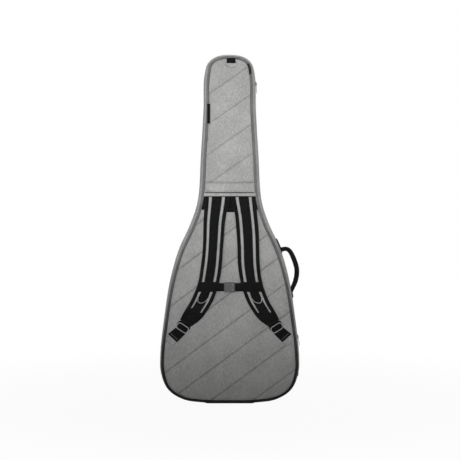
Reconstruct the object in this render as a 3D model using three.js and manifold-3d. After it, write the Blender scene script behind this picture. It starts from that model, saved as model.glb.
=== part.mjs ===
// Padded gig bag for a full-size acoustic guitar, standing upright and zipped shut.
// Millimetres, +Z up. The carrying side with the shoulder straps faces -Y, the lid opens towards +Y.
// The origin is the middle of the base pad's flat underside.
import * as THREE from 'three';
import { mergeVertices } from 'three/addons/utils/BufferGeometryUtils.js';
import Module from 'manifold-3d';

const wasm = await Module();
wasm.setup();

// ---------------------------------------------------------------- driving dimensions

// Right half of the outline seen from behind, bottom middle to top middle: [half width, height].
const HALF_OUTLINE = [
  [0, 4.2], [88, 6.4], [150, 16.5], [199, 48], [220.5, 100], [222.5, 160], [208, 290], [190, 400],
  [162, 498], [124, 582], [101, 655], [91, 800], [82.5, 950], [80, 1050], [68, 1094], [44, 1113], [0, 1120],
];
const POINTS_PER_SPAN = 2;

const BACK_Y = -80; // outer face of the back panel
const SEAM_Y = -15; // plane where the main zip parts the bag
// Outer face of the lid, from bottom to top: [height, y].
const LID_PROFILE = [[-10, 80], [430, 80], [560, 60], [720, 32], [1130, 25]];

const GAP = 0.3; // clearance between neighbouring layers
const SEAM_GAP = 0.15; // half the clearance between the two halves
const SKIN = 2; // gusset fabric
const QUILT = 3.8; // quilted panel
const FOAM = 15;
const LINING = 1.5;

const FOAM_INSET = SKIN + GAP;
const LINING_INSET = FOAM_INSET + FOAM + GAP;
const PIPING_INSET = 12.6;
const PIPING_RADIUS = 4.3;
const PIPING_PROUD = 2; // how far its centre line lies outside the panel's face
const PANEL_INSET = PIPING_INSET + PIPING_RADIUS + 4.5; // leaves room for the facets of the piping's bends

const TAPE_WIDTH = 9;
const TEETH_WIDTH = 1.4;
const TEETH_PROUD = 0.8;

const HINGE_BOTTOM = 105; // the lid's fabric hinge, on the -X side
const HINGE_TOP = 395;

const BAND_BOTTOM = 667; // cross band where the neck panel meets the body panel
const BAND_TOP = 714;

const PATCH = 1.5; // thickness of a sewn patch
const WEBBING = 2;
const PAD_BASE_Y = BACK_Y - 4.5; // underside of a shoulder strap at its two ends
const PAD_THICKNESS = 14;
const PAD_BOW = 28; // how far the middle of a strap stands off
const STRAP_TOP = 664;
const STRAP_BOTTOM = 254;
// Shoulder strap edges: [height, outer half width, inner half width].
const STRAP_STATIONS = [
  [STRAP_TOP, 70, 13], [595, 76, 15], [526, 82, 17], [486, 86, 21], [446, 90, 26], [414, 94, 31],
  [382, 101, 38], [334, 123, 56], [302, 143, 76], [280, 160, 96], [STRAP_BOTTOM, 168, 127],
];
const STRAP_END_SLANT = 20; // the outer corner of a strap's lower end lies this much above the inner one
const STERNUM_Z = 382;
const STERNUM_WEBBING_HEIGHT = 27;
const STERNUM_Y = -126; // side of the sternum webbing that faces the bag
const BUCKLE_THICKNESS = 9;
const BUCKLE_HEIGHT = 31;

// ---------------------------------------------------------------- colours

const GREY_FABRIC = { color: 0x9a9a98, roughness: 0.9 };
const BLACK_FABRIC = { color: 0x1e1e1f, roughness: 0.85 };
const PIPING_BLACK = { color: 0x3a3a3a, roughness: 0.7 };
const FOAM_GREY = { color: 0x5c5f62, roughness: 0.95 };
const LINING_GREY = { color: 0x77797b, roughness: 0.95 };
const TRIM_GREY = { color: 0xb5b5b3, roughness: 0.6 };
const BUCKLE_GREY = { color: 0x5f5f60, roughness: 0.45 };
const BLACK_PLASTIC = { color: 0x151516, roughness: 0.4 };
const LIGHT_METAL = { color: 0xb9babb, roughness: 0.3, metalness: 0.9 };
const RUBBER = { color: 0x202022, roughness: 0.95 };

// ---------------------------------------------------------------- solids and booleans

function toSolid(geometry) {
  const bare = geometry.clone();
  for (const name of Object.keys(bare.attributes)) {
    if (name !== 'position') {
      bare.deleteAttribute(name);
    }
  }
  const merged = mergeVertices(bare, 1e-4);
  return new wasm.Manifold(new wasm.Mesh({
    numProp: 3,
    vertProperties: new Float32Array(merged.attributes.position.array),
    triVerts: new Uint32Array(merged.index.array),
  }));
}

function toGeometry(solid) {
  const mesh = solid.getMesh();
  const geometry = new THREE.BufferGeometry();
  geometry.setAttribute('position', new THREE.BufferAttribute(mesh.vertProperties, 3));
  geometry.setIndex(new THREE.BufferAttribute(mesh.triVerts, 1));
  geometry.computeVertexNormals();
  return geometry;
}

function common(first, second) {
  return toGeometry(toSolid(first).intersect(toSolid(second)));
}

function joined(first, second) {
  return toGeometry(toSolid(first).add(toSolid(second)));
}

function cut(body, ...tools) {
  return toGeometry(tools.reduce((solid, tool) => solid.subtract(toSolid(tool)), toSolid(body)));
}

// Box given by its low and high corners.
function block(low, high) {
  const box = new THREE.BoxGeometry(high[0] - low[0], high[1] - low[1], high[2] - low[2]);
  box.translate((low[0] + high[0]) / 2, (low[1] + high[1]) / 2, (low[2] + high[2]) / 2);
  return box;
}

// Plate whose shape is drawn in X and Z and which fills y from low to high.
function plate(shape, low, high) {
  const settings = { depth: high - low, bevelEnabled: false, curveSegments: 6 };
  const geometry = new THREE.ExtrudeGeometry(shape, settings);
  geometry.rotateX(Math.PI / 2);
  geometry.translate(0, high, 0);
  return geometry;
}

// Prism whose side profile is drawn in Y and Z and which runs the whole width.
function sideProfile(points) {
  const halfWidth = 300;
  const settings = { depth: 2 * halfWidth, bevelEnabled: false };
  const geometry = new THREE.ExtrudeGeometry(new THREE.Shape(points), settings);
  const turn = new THREE.Matrix4().makeBasis(
    new THREE.Vector3(0, 1, 0), new THREE.Vector3(0, 0, 1), new THREE.Vector3(1, 0, 0));
  geometry.applyMatrix4(turn);
  geometry.translate(-halfWidth, 0, 0);
  return geometry;
}

function roundedRectangle(width, height, radius) {
  const shape = new THREE.Shape();
  const x = width / 2;
  const y = height / 2;
  shape.moveTo(-x + radius, -y);
  shape.lineTo(x - radius, -y);
  shape.absarc(x - radius, -y + radius, radius, -Math.PI / 2, 0);
  shape.lineTo(x, y - radius);
  shape.absarc(x - radius, y - radius, radius, 0, Math.PI / 2);
  shape.lineTo(-x + radius, y);
  shape.absarc(-x + radius, y - radius, radius, Math.PI / 2, Math.PI);
  shape.lineTo(-x, -y + radius);
  shape.absarc(-x + radius, -y + radius, radius, Math.PI, 1.5 * Math.PI);
  const cornerSegments = 2;
  const points = shape.getPoints(cornerSegments);
  // An arc starts where the line before it ends, so one of the two points goes.
  return new THREE.Shape(points.filter((point, index) => {
    const next = points[(index + 1) % points.length];
    return point.distanceTo(next) > 1e-6;
  }));
}

// ---------------------------------------------------------------- outline

function outlinePoints() {
  const right = HALF_OUTLINE.map(([x, z]) => new THREE.Vector3(x, z, 0));
  const left = HALF_OUTLINE.slice(1, -1).reverse().map(([x, z]) => new THREE.Vector3(-x, z, 0));
  const keys = [...right, ...left];
  const curve = new THREE.CatmullRomCurve3(keys, true, 'centripetal');
  const points = curve.getPoints(keys.length * POINTS_PER_SPAN);
  points.pop(); // the last point repeats the first
  return points.map((point) => new THREE.Vector2(point.x, point.y));
}

const OUTLINE = outlinePoints();

// The outline moved inwards, each point along its own normal.
function inset(distance) {
  const count = OUTLINE.length;
  return OUTLINE.map((point, index) => {
    const before = OUTLINE[(index + count - 1) % count];
    const after = OUTLINE[(index + 1) % count];
    const along = after.clone().sub(before).normalize();
    const inwards = new THREE.Vector2(-along.y, along.x);
    return point.clone().addScaledVector(inwards, distance);
  });
}

function panelShape(distance) {
  return new THREE.Shape(inset(distance));
}

function ringShape(outer, inner) {
  const shape = new THREE.Shape(inset(outer));
  shape.holes.push(new THREE.Path(inset(inner)));
  return shape;
}

function backRing(outer, inner, low, high) {
  return plate(ringShape(outer, inner), low, high);
}

// Half width of the outline at a height on the right side.
function halfWidthAt(height) {
  const right = OUTLINE.filter((point) => point.x >= 0);
  const index = right.findIndex((point) => point.y >= height);
  const a = right[index - 1];
  const b = right[index];
  return a.x + (b.x - a.x) * (height - a.y) / (b.y - a.y);
}

function lidFace(height) {
  const index = LID_PROFILE.findIndex(([z]) => z >= height);
  const [z0, y0] = LID_PROFILE[index - 1];
  const [z1, y1] = LID_PROFILE[index];
  return y0 + (y1 - y0) * (height - z0) / (z1 - z0);
}

// Everything between a flat plane and the lid's face moved inwards by a depth.
function underLidFace(low, depth) {
  const face = LID_PROFILE.map(([z, y]) => new THREE.Vector2(y - depth, z));
  const top = LID_PROFILE.at(-1)[0];
  const bottom = LID_PROFILE[0][0];
  return sideProfile([new THREE.Vector2(low, bottom), ...face, new THREE.Vector2(low, top)]);
}

// Sheet that follows the lid's face between two depths.
function lidSheet(near, far) {
  const outside = LID_PROFILE.map(([z, y]) => new THREE.Vector2(y - near, z));
  const inside = LID_PROFILE.map(([z, y]) => new THREE.Vector2(y - far, z)).reverse();
  return sideProfile([...outside, ...inside]);
}

function lidRing(outer, inner, low, depth) {
  const tall = backRing(outer, inner, low, 100);
  return common(tall, underLidFace(low - 1, depth));
}

function lidPanel(distance, near, far) {
  return common(plate(panelShape(distance), 0, 100), lidSheet(near, far));
}

// ---------------------------------------------------------------- scene

const bag = new THREE.Group();

function add(name, geometry, look, parent = bag) {
  const mesh = new THREE.Mesh(geometry, new THREE.MeshStandardMaterial(look));
  mesh.name = name;
  parent.add(mesh);
  return mesh;
}

// ---------------------------------------------------------------- back half

const BACK_FOAM_Y = BACK_Y + QUILT + GAP;
const BACK_LINING_Y = BACK_FOAM_Y + FOAM + GAP;

function piping(faceAt) {
  const points = inset(PIPING_INSET).map((point) => new THREE.Vector3(point.x, faceAt(point.y), point.y));
  const joinGap = 1;
  points[0].x += joinGap / 2;
  points.push(new THREE.Vector3(-joinGap / 2, points[0].y, points[0].z));
  const path = new THREE.CatmullRomCurve3(points);
  const section = new THREE.Shape();
  section.absarc(0, 0, PIPING_RADIUS, 0, 2 * Math.PI);
  const steps = 72;
  return new THREE.ExtrudeGeometry(section, { extrudePath: path, steps, curveSegments: 3 });
}

function zipStretch(ring) {
  return cut(ring, block([-300, -200, HINGE_BOTTOM], [-120, 200, HINGE_TOP]));
}

function addBackHalf() {
  const panel = plate(panelShape(PANEL_INSET), BACK_Y, BACK_Y + QUILT);
  const aboveBody = block([-300, -100, BAND_BOTTOM - GAP], [300, 0, 1200]);
  const belowNeck = block([-300, -100, -10], [300, 0, BAND_TOP + GAP]);
  const bandBlock = block([-300, -100, BAND_BOTTOM], [300, 0, BAND_TOP]);
  add('back_body_panel', cut(panel, aboveBody), GREY_FABRIC);
  add('back_neck_panel', cut(panel, belowNeck), GREY_FABRIC);
  add('cross_band', common(panel, bandBlock), GREY_FABRIC);
  add('back_piping', piping(() => BACK_Y - PIPING_PROUD), PIPING_BLACK);
  add('back_foam', plate(panelShape(FOAM_INSET), BACK_FOAM_Y, BACK_FOAM_Y + FOAM), FOAM_GREY);

  const tapeLow = SEAM_Y - TAPE_WIDTH;
  const seamLow = SEAM_Y - SEAM_GAP;
  add('back_gusset', backRing(0, SKIN, BACK_FOAM_Y, tapeLow - GAP), GREY_FABRIC);
  add('back_gusset_foam', backRing(FOAM_INSET, FOAM_INSET + FOAM, BACK_LINING_Y, seamLow), FOAM_GREY);
  const liningFloor = plate(panelShape(LINING_INSET), BACK_LINING_Y, BACK_LINING_Y + LINING);
  const liningWall = backRing(LINING_INSET, LINING_INSET + LINING, BACK_LINING_Y, seamLow);
  add('back_lining', joined(liningFloor, liningWall), LINING_GREY);

  const teethLow = seamLow - TEETH_WIDTH;
  const tape = backRing(0.2, 1.8, tapeLow, teethLow - GAP);
  add('zip_tape_back', zipStretch(tape), BLACK_FABRIC);
  add('zip_teeth_back', zipStretch(backRing(-TEETH_PROUD, 1.8, teethLow, seamLow)), BLACK_PLASTIC);
  const strip = backRing(0.2, 1.8, tapeLow, seamLow);
  const hingeBlock = block([-300, -200, HINGE_BOTTOM + GAP], [-120, 200, HINGE_TOP - GAP]);
  add('lid_hinge_strip', common(strip, hingeBlock), GREY_FABRIC);

  add('base_pad', block([-80, -58, 0], [80, 52, 3]), RUBBER);
}

// ---------------------------------------------------------------- lid

function addLid() {
  const lid = new THREE.Group();
  bag.add(lid);
  const seamHigh = SEAM_Y + SEAM_GAP;
  const foamDepth = QUILT + GAP;
  const liningDepth = foamDepth + FOAM + GAP;
  add('front_panel', lidPanel(PANEL_INSET, 0, QUILT), GREY_FABRIC, lid);
  add('front_piping', piping((height) => lidFace(height) + PIPING_PROUD), PIPING_BLACK, lid);
  add('front_foam', lidPanel(FOAM_INSET, foamDepth, foamDepth + FOAM), FOAM_GREY, lid);
  const liningFloor = lidPanel(LINING_INSET, liningDepth, liningDepth + LINING);
  const liningWall = lidRing(LINING_INSET, LINING_INSET + LINING, seamHigh, liningDepth);
  add('front_lining', joined(liningFloor, liningWall), LINING_GREY, lid);

  const tapeHigh = SEAM_Y + TAPE_WIDTH;
  add('lid_gusset', lidRing(0, SKIN, tapeHigh + GAP, foamDepth), GREY_FABRIC, lid);
  add('lid_gusset_foam', lidRing(FOAM_INSET, FOAM_INSET + FOAM, seamHigh, liningDepth), FOAM_GREY, lid);
  const teethHigh = seamHigh + TEETH_WIDTH;
  add('zip_tape_front', backRing(0.2, 1.8, teethHigh + GAP, tapeHigh), BLACK_FABRIC, lid);
  add('zip_teeth_front', zipStretch(backRing(-TEETH_PROUD, 1.8, seamHigh, teethHigh)), BLACK_PLASTIC, lid);
  addPocket(lid);
}

// ---------------------------------------------------------------- front pocket

const POCKET_HALF_WIDTH = 140;
const POCKET_LOW = 110;
const POCKET_HIGH = 400;
const POCKET_DEPTH = 22;
const POCKET_WALL = 3;
const POCKET_ZIP_Z = 368;
const POCKET_ZIP_HALF = 125;

function addPocket(lid) {
  const face = LID_PROFILE[0][1] + GAP;
  const front = face + POCKET_DEPTH;
  const middle = (POCKET_LOW + POCKET_HIGH) / 2;
  const height = POCKET_HIGH - POCKET_LOW;
  const outside = roundedRectangle(2 * POCKET_HALF_WIDTH, height, 40);
  const insideWidth = 2 * (POCKET_HALF_WIDTH - POCKET_WALL);
  const inside = roundedRectangle(insideWidth, height - 2 * POCKET_WALL, 40 - POCKET_WALL);
  const wall = cut(plate(outside, face, front - SKIN - GAP), plate(inside, face - 1, front));
  wall.translate(0, 0, middle);
  add('pocket_gusset', wall, GREY_FABRIC, lid);

  const panel = plate(outside, front - SKIN, front);
  panel.translate(0, 0, middle);
  const slotLow = [-POCKET_ZIP_HALF, front - 10, POCKET_ZIP_Z - 6];
  const slotHigh = [POCKET_ZIP_HALF, front + 10, POCKET_ZIP_Z + 6];
  add('pocket_panel', cut(panel, block(slotLow, slotHigh)), GREY_FABRIC, lid);

  const chainLow = [-POCKET_ZIP_HALF + GAP, front - 1.8, POCKET_ZIP_Z - 6 + GAP];
  const chainHigh = [POCKET_ZIP_HALF - GAP, front - 0.2, POCKET_ZIP_Z + 6 - GAP];
  add('pocket_zip_chain', block(chainLow, chainHigh), BLACK_FABRIC, lid);

  const slider = new THREE.Group();
  slider.position.set(-POCKET_ZIP_HALF + 12, front, POCKET_ZIP_Z);
  lid.add(slider);
  addSlider('pocket_zip', slider, new THREE.Vector3(1, 0, 0), new THREE.Vector3(0, 1, 0));
}

// ---------------------------------------------------------------- zip sliders

const SLIDER_LENGTH = 12;
const SLIDER_WIDTH = 9;
const SLIDER_HEIGHT = 4.5;
const PULL_LENGTH = 30;

// A slider that runs along one direction on a face with the given outward normal, and its
// pull, which hangs down.
function addSlider(name, parent, along, outwards) {
  const across = new THREE.Vector3().crossVectors(outwards, along);
  const clearance = 0.6;
  const body = new THREE.BoxGeometry(SLIDER_LENGTH, SLIDER_WIDTH, SLIDER_HEIGHT);
  body.translate(0, 0, clearance + SLIDER_HEIGHT / 2);
  body.applyMatrix4(new THREE.Matrix4().makeBasis(along, across, outwards));
  add(`${name}_slider`, body, BLACK_PLASTIC, parent);

  const sideways = new THREE.Vector3().crossVectors(new THREE.Vector3(0, 0, 1), outwards).normalize();
  const up = new THREE.Vector3().crossVectors(outwards, sideways).normalize();
  const settings = { depth: 2, bevelEnabled: false, curveSegments: 3 };
  const pull = new THREE.ExtrudeGeometry(roundedRectangle(7, PULL_LENGTH, 3), settings);
  pull.translate(0, -PULL_LENGTH / 2, clearance + SLIDER_HEIGHT + GAP);
  pull.applyMatrix4(new THREE.Matrix4().makeBasis(sideways, up, outwards));
  add(`${name}_pull`, pull, BLACK_FABRIC, parent);
}

const BODY_SLIDER_Z = 212;
const BODY_TRACK_END_Z = 345;
const NECK_SLIDER_Z = 1030;
const NECK_TRACK_END_Z = 950;

function addMainSlider(name, restZ, endZ) {
  const start = new THREE.Vector3(halfWidthAt(restZ), SEAM_Y, restZ);
  const end = new THREE.Vector3(halfWidthAt(endZ), SEAM_Y, endZ);
  const along = end.clone().sub(start).normalize();
  const across = new THREE.Vector3(0, 1, 0);
  const outwards = new THREE.Vector3().crossVectors(along, across).normalize();
  if (outwards.x < 0) {
    outwards.negate();
  }
  const slider = new THREE.Group();
  slider.position.copy(start).addScaledVector(outwards, TEETH_PROUD + 0.6);
  bag.add(slider);
  addSlider(name, slider, along, outwards);
}

function addZipEnd() {
  const height = 94;
  const x = halfWidthAt(height);
  const tab = block([x + 2.2, SEAM_Y - 8, height - 11], [x + 4, SEAM_Y - 2, height + 11]);
  add('zip_end_tab', tab, BLACK_FABRIC);
}

// ---------------------------------------------------------------- carrying hardware

const MIRROR = { left: -1, right: 1 };

function mirrored(geometry, side) {
  if (side > 0) {
    return geometry;
  }
  return toGeometry(toSolid(geometry).mirror([1, 0, 0]));
}

function strapBow(height) {
  const share = (STRAP_TOP - height) / (STRAP_TOP - STRAP_BOTTOM);
  return PAD_BOW * Math.sin(Math.PI * Math.min(1, Math.max(0, share)));
}

// A strip that follows the right shoulder strap, between two shares of its width (0 outer edge,
// 1 inner edge), over the given stations. It lies at a height above the strap's underside.
function strapStrip(fromShare, toShare, lift, thickness, stations) {
  const geometry = new THREE.BoxGeometry(1, 1, 1, 1, 1, stations.length - 1);
  const position = geometry.attributes.position;
  for (let index = 0; index < position.count; index += 1) {
    const station = Math.round((position.getZ(index) + 0.5) * (stations.length - 1));
    const [height, outer, inner] = stations[stations.length - 1 - station];
    const share = position.getX(index) > 0 ? fromShare : toShare;
    const x = outer + (inner - outer) * share;
    const front = position.getY(index) < 0 ? lift + thickness : lift;
    const slant = height === STRAP_BOTTOM ? STRAP_END_SLANT * (1 - share) : 0;
    position.setXYZ(index, x, PAD_BASE_Y - strapBow(height) - front, height + slant);
  }
  return geometry;
}

function addShoulderStrap(sideName) {
  const side = MIRROR[sideName];
  const strap = new THREE.Group();
  bag.add(strap);
  const pad = strapStrip(0, 1, 0, PAD_THICKNESS, STRAP_STATIONS);
  add(`shoulder_pad_${sideName}`, mirrored(pad, side), BLACK_FABRIC, strap);
  const lift = PAD_THICKNESS + GAP;
  const webbingStations = STRAP_STATIONS.slice(0, 8);
  const webbing = strapStrip(0.29, 0.71, lift, WEBBING, webbingStations);
  add(`strap_webbing_${sideName}`, mirrored(webbing, side), BLACK_FABRIC, strap);
  const trimStations = STRAP_STATIONS.slice(0, 9);
  const outerTrim = strapStrip(0.12, 0.27, lift, 1, trimStations);
  const innerTrim = strapStrip(0.73, 0.88, lift, 1, trimStations);
  add(`strap_trim_outer_${sideName}`, mirrored(outerTrim, side), TRIM_GREY, strap);
  add(`strap_trim_inner_${sideName}`, mirrored(innerTrim, side), TRIM_GREY, strap);

  addLowerWebbing(sideName, side);
}

const LOCK_TILT = 33; // slope of the ladder lock's bars, degrees
const LOCK_CENTRE = [151, 248];
const TAIL_TILT = 43; // slope of the lower webbing's width, degrees
const LOWER_WEBBING_CENTRE = [168, 230];
const CORNER_TAB_CENTRE = [189, 206];

function slanted(geometry, centre, tilt) {
  geometry.rotateY(-THREE.MathUtils.degToRad(tilt));
  geometry.translate(centre[0], 0, centre[1]);
  return geometry;
}

function addLowerWebbing(sideName, side) {
  const patchY = BACK_Y - GAP;
  const webbingY = patchY - PATCH - GAP;
  const tabPlate = plate(roundedRectangle(42, 40, 3), patchY - PATCH, patchY);
  const tab = slanted(tabPlate, CORNER_TAB_CENTRE, TAIL_TILT);
  const insidePanel = plate(panelShape(PANEL_INSET), -100, 0);
  add(`corner_tab_${sideName}`, mirrored(common(tab, insidePanel), side), GREY_FABRIC);

  const webbingPlate = plate(roundedRectangle(34, 40, 1), webbingY - WEBBING, webbingY);
  const webbing = slanted(webbingPlate, LOWER_WEBBING_CENTRE, TAIL_TILT);
  add(`lower_webbing_${sideName}`, mirrored(webbing, side), BLACK_FABRIC);

  const lockShape = roundedRectangle(42, 22, 4);
  for (const [slotZ, halfLength] of [[-5.4, 17], [4.6, 16]]) {
    const slot = new THREE.Path();
    const halfSlot = 2.6;
    slot.moveTo(-halfLength, slotZ - halfSlot);
    slot.lineTo(halfLength, slotZ - halfSlot);
    slot.lineTo(halfLength, slotZ + halfSlot);
    slot.lineTo(-halfLength, slotZ + halfSlot);
    lockShape.holes.push(slot);
  }
  const lockHigh = webbingY - WEBBING - 1.9;
  const lock = slanted(plate(lockShape, lockHigh - 4, lockHigh), LOCK_CENTRE, LOCK_TILT);
  add(`ladder_lock_${sideName}`, mirrored(lock, side), TRIM_GREY);
}

function addStrapAnchor() {
  const high = BACK_Y - GAP;
  const patch = block([-92, high - PATCH, 614], [92, high, BAND_BOTTOM - 1]);
  const insidePanel = plate(panelShape(PANEL_INSET), -100, 0);
  add('strap_anchor_panel', common(patch, insidePanel), BLACK_FABRIC);
}

// ---------------------------------------------------------------- sternum strap

function addSternumStrap() {
  const low = STERNUM_Z - STERNUM_WEBBING_HEIGHT / 2;
  const high = STERNUM_Z + STERNUM_WEBBING_HEIGHT / 2;
  const webbingLow = STERNUM_Y - WEBBING;
  add('sternum_webbing_left', block([-101, webbingLow, low], [-4, STERNUM_Y, high]), BLACK_FABRIC);
  add('sternum_webbing_right', block([4, webbingLow, low], [104, STERNUM_Y, high]), BLACK_FABRIC);

  const back = webbingLow - GAP;
  const front = back - BUCKLE_THICKNESS;
  const halfHeight = BUCKLE_HEIGHT / 2;
  const slotHalf = 11.8;
  const slotFront = front + 1.6;
  const slotBack = back - 1.6;
  const shell = block([-17, front, STERNUM_Z - halfHeight], [8, back, STERNUM_Z + halfHeight]);
  const mouth = block([-11, slotFront, STERNUM_Z - slotHalf], [20, slotBack, STERNUM_Z + slotHalf]);
  const windows = block([-7, slotFront, STERNUM_Z - 40], [3, slotBack, STERNUM_Z + 40]);
  add('buckle_female', cut(shell, mouth, windows), BUCKLE_GREY);

  const tongueHalf = 3;
  const plug = block([8.4, front, STERNUM_Z - halfHeight], [16, back, STERNUM_Z + halfHeight]);
  const tongueLow = [-9, slotFront + 0.4, STERNUM_Z - tongueHalf];
  const tongueHigh = [9, slotBack - 0.4, STERNUM_Z + tongueHalf];
  const tongue = block(tongueLow, tongueHigh);
  add('buckle_male', joined(plug, tongue), BUCKLE_GREY);

  for (const [name, side] of [['upper', 1], ['lower', -1]]) {
    const near = STERNUM_Z + side * 7.5;
    const far = STERNUM_Z + side * 11.2;
    const prongLow = [-8, slotFront + 0.4, Math.min(near, far)];
    const prongHigh = [8, slotBack - 0.4, Math.max(near, far)];
    add(`buckle_prong_${name}`, block(prongLow, prongHigh), BUCKLE_GREY);
  }
}

// ---------------------------------------------------------------- D-ring, label and handle

const RING_Z = 1095;
const RING_Y = BACK_Y - 4;

function addHangTab() {
  const tab = block([-14.5, RING_Y - 3.7, RING_Z - 6], [14.5, BACK_Y - GAP, RING_Z + 5]);
  const channel = block([-20, RING_Y - 2.7, RING_Z - 2.7], [20, RING_Y + 2.7, RING_Z + 2.7]);
  add('hang_tab', cut(tab, channel), BLACK_FABRIC);

  const wire = 3;
  const halfWidth = 18.5;
  const drop = 17;
  const outside = new THREE.Shape();
  outside.moveTo(-halfWidth, wire / 2);
  outside.lineTo(-halfWidth, -drop + halfWidth * 0.45);
  outside.quadraticCurveTo(-halfWidth, -drop, 0, -drop);
  outside.quadraticCurveTo(halfWidth, -drop, halfWidth, -drop + halfWidth * 0.45);
  outside.lineTo(halfWidth, wire / 2);
  const innerWidth = halfWidth - wire;
  const hole = new THREE.Path();
  hole.moveTo(-innerWidth, -wire / 2);
  hole.lineTo(-innerWidth, -drop + halfWidth * 0.45);
  hole.quadraticCurveTo(-innerWidth, -drop + wire, 0, -drop + wire);
  hole.quadraticCurveTo(innerWidth, -drop + wire, innerWidth, -drop + halfWidth * 0.45);
  hole.lineTo(innerWidth, -wire / 2);
  outside.holes.push(hole);
  const ring = plate(outside, RING_Y - wire / 2, RING_Y + wire / 2);
  ring.translate(0, 0, RING_Z);
  add('d_ring', ring, LIGHT_METAL);
}

function addLabel() {
  const y = BACK_Y - PIPING_PROUD - PIPING_RADIUS - 0.7;
  add('side_label', block([-72, y, 901], [-62, y + 0.4, 964]), BLACK_FABRIC);
}

const HANDLE_Y = -55;
// Handle grip from its upper anchor to its lower one: [x, z].
const HANDLE_PATH = [
  [174, 498], [189, 499], [203, 485], [213, 459], [218, 430], [218, 410], [213, 390], [206, 374],
];

function addHandle() {
  const points = HANDLE_PATH.map(([x, z]) => new THREE.Vector3(x, HANDLE_Y, z));
  const path = new THREE.CatmullRomCurve3(points);
  const grip = new THREE.ExtrudeGeometry(roundedRectangle(20, 9, 4), { extrudePath: path, steps: 14 });
  add('carry_handle', grip, BLACK_FABRIC);

  for (const [name, low, high] of [['upper', 484, 514], ['lower', 350, 380]]) {
    const skin = backRing(-2.6, -0.6, HANDLE_Y - 12, HANDLE_Y + 12);
    const stretch = block([0, -200, low], [300, 200, high]);
    add(`handle_anchor_${name}`, common(skin, stretch), BLACK_FABRIC);
  }
}

// ---------------------------------------------------------------- inside

const CRADLE_LOW = 760;
const CRADLE_HIGH = 830;
const CRADLE_TOP_Y = -24;

function addInside() {
  const floor = BACK_LINING_Y + LINING + GAP;
  const halfWidth = 58;
  const notchHalf = 30;
  const cradle = block([-halfWidth, floor, CRADLE_LOW], [halfWidth, CRADLE_TOP_Y, CRADLE_HIGH]);
  const notch = block([-notchHalf, floor + 14, CRADLE_LOW - 10], [notchHalf, 50, CRADLE_HIGH + 10]);
  add('neck_cradle', cut(cradle, notch), FOAM_GREY);
  const strapLow = [-52, CRADLE_TOP_Y + 0.8, (CRADLE_LOW + CRADLE_HIGH) / 2 - 19];
  const strapHigh = [52, CRADLE_TOP_Y + 2.8, (CRADLE_LOW + CRADLE_HIGH) / 2 + 19];
  add('neck_strap', block(strapLow, strapHigh), BLACK_FABRIC);

  const bottom = OUTLINE[0].y + LINING_INSET + LINING + 4;
  add('end_pin_pad', block([-60, floor, bottom], [60, SEAM_Y - 2, bottom + 14]), FOAM_GREY);
}

// ---------------------------------------------------------------- assembly

addBackHalf();
addLid();
addMainSlider('body_zip', BODY_SLIDER_Z, BODY_TRACK_END_Z);
addMainSlider('neck_zip', NECK_SLIDER_Z, NECK_TRACK_END_Z);
addZipEnd();
addStrapAnchor();
addShoulderStrap('left');
addShoulderStrap('right');
addSternumStrap();
addHangTab();
addLabel();
addHandle();
addInside();

export default bag;
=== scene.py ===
import math

import bmesh
import bpy
import numpy as np
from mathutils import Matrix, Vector
from mathutils.geometry import delaunay_2d_cdt


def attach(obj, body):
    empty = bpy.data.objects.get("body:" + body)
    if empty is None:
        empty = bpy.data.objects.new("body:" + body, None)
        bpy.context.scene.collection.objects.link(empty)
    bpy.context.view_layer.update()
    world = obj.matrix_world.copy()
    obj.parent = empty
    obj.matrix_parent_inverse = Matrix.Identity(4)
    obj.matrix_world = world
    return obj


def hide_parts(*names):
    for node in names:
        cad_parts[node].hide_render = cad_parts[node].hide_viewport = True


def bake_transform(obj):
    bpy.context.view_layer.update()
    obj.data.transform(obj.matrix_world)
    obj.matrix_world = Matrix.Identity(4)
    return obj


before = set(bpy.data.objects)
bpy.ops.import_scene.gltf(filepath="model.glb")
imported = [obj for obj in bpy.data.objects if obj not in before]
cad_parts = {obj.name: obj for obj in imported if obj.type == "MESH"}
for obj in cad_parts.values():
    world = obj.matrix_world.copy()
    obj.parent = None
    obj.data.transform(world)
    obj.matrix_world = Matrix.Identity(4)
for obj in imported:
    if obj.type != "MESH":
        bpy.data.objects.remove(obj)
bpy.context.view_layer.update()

SCENE = bpy.context.scene
MM = 0.001
STRAP_SIDE = (0, -1, 0)
LID_SIDE = (0, 1, 0)
SIDES = (("left", -1), ("right", 1))

# ------------------------------------------------------------------ sizes, in millimetres

HALF_OUTLINE = [
    (0, 4.2), (88, 6.4), (150, 16.5), (199, 48), (220.5, 100), (222.5, 160), (208, 290),
    (190, 400), (162, 498), (124, 582), (101, 655), (91, 800), (82.5, 950), (80, 1050),
    (68, 1094), (44, 1113), (0, 1120),
]
BACK_Y = -80.0  # face of the back, on the strap side
SEAM_Y = -15.0  # middle of the zip
PIPING_Y = -81.8
LID_HEIGHTS = [-10, 430, 560, 720, 1130]
LID_FACES = [80, 80, 60, 32, 25]
PIPING_HEIGHTS = [0, 30, 80, 200, 350, 520, 1060, 1113]
PIPING_INSETS = [5.2, 5.6, 7.4, 8.6, 10.2, 12.4, 12.4, 8.8]
PIPING_RADIUS = 4.5
PANEL_TUCK = 1.4  # from the piping's middle to the panel's edge
BAND_HIGH = 714.0
HINGE_LOW, HINGE_HIGH = 105.0, 395.0
# quilting lines: slope, height of the first one in the middle, pitch
BODY_STITCH = (0.74, 57.6, 99.9)
NECK_STITCH = (0.692, 756.8, 95.0)

STRAP_TOP, STRAP_LOW = 667.5, 254.0
PAD_BASE_Y = -84.5
PAD_BOW = 28.0
PAD_SLANT = 20.0
# height, outer edge and inner edge of a strap
STRAP_STATIONS = np.array([
    [664, 70, 13], [595, 76, 15], [526, 82, 17], [486, 86, 21], [446, 90, 26], [414, 94, 31],
    [382, 101, 38], [334, 123, 56], [302, 143, 76], [280, 155, 90], [254, 159, 121],
], float)[::-1]
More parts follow.
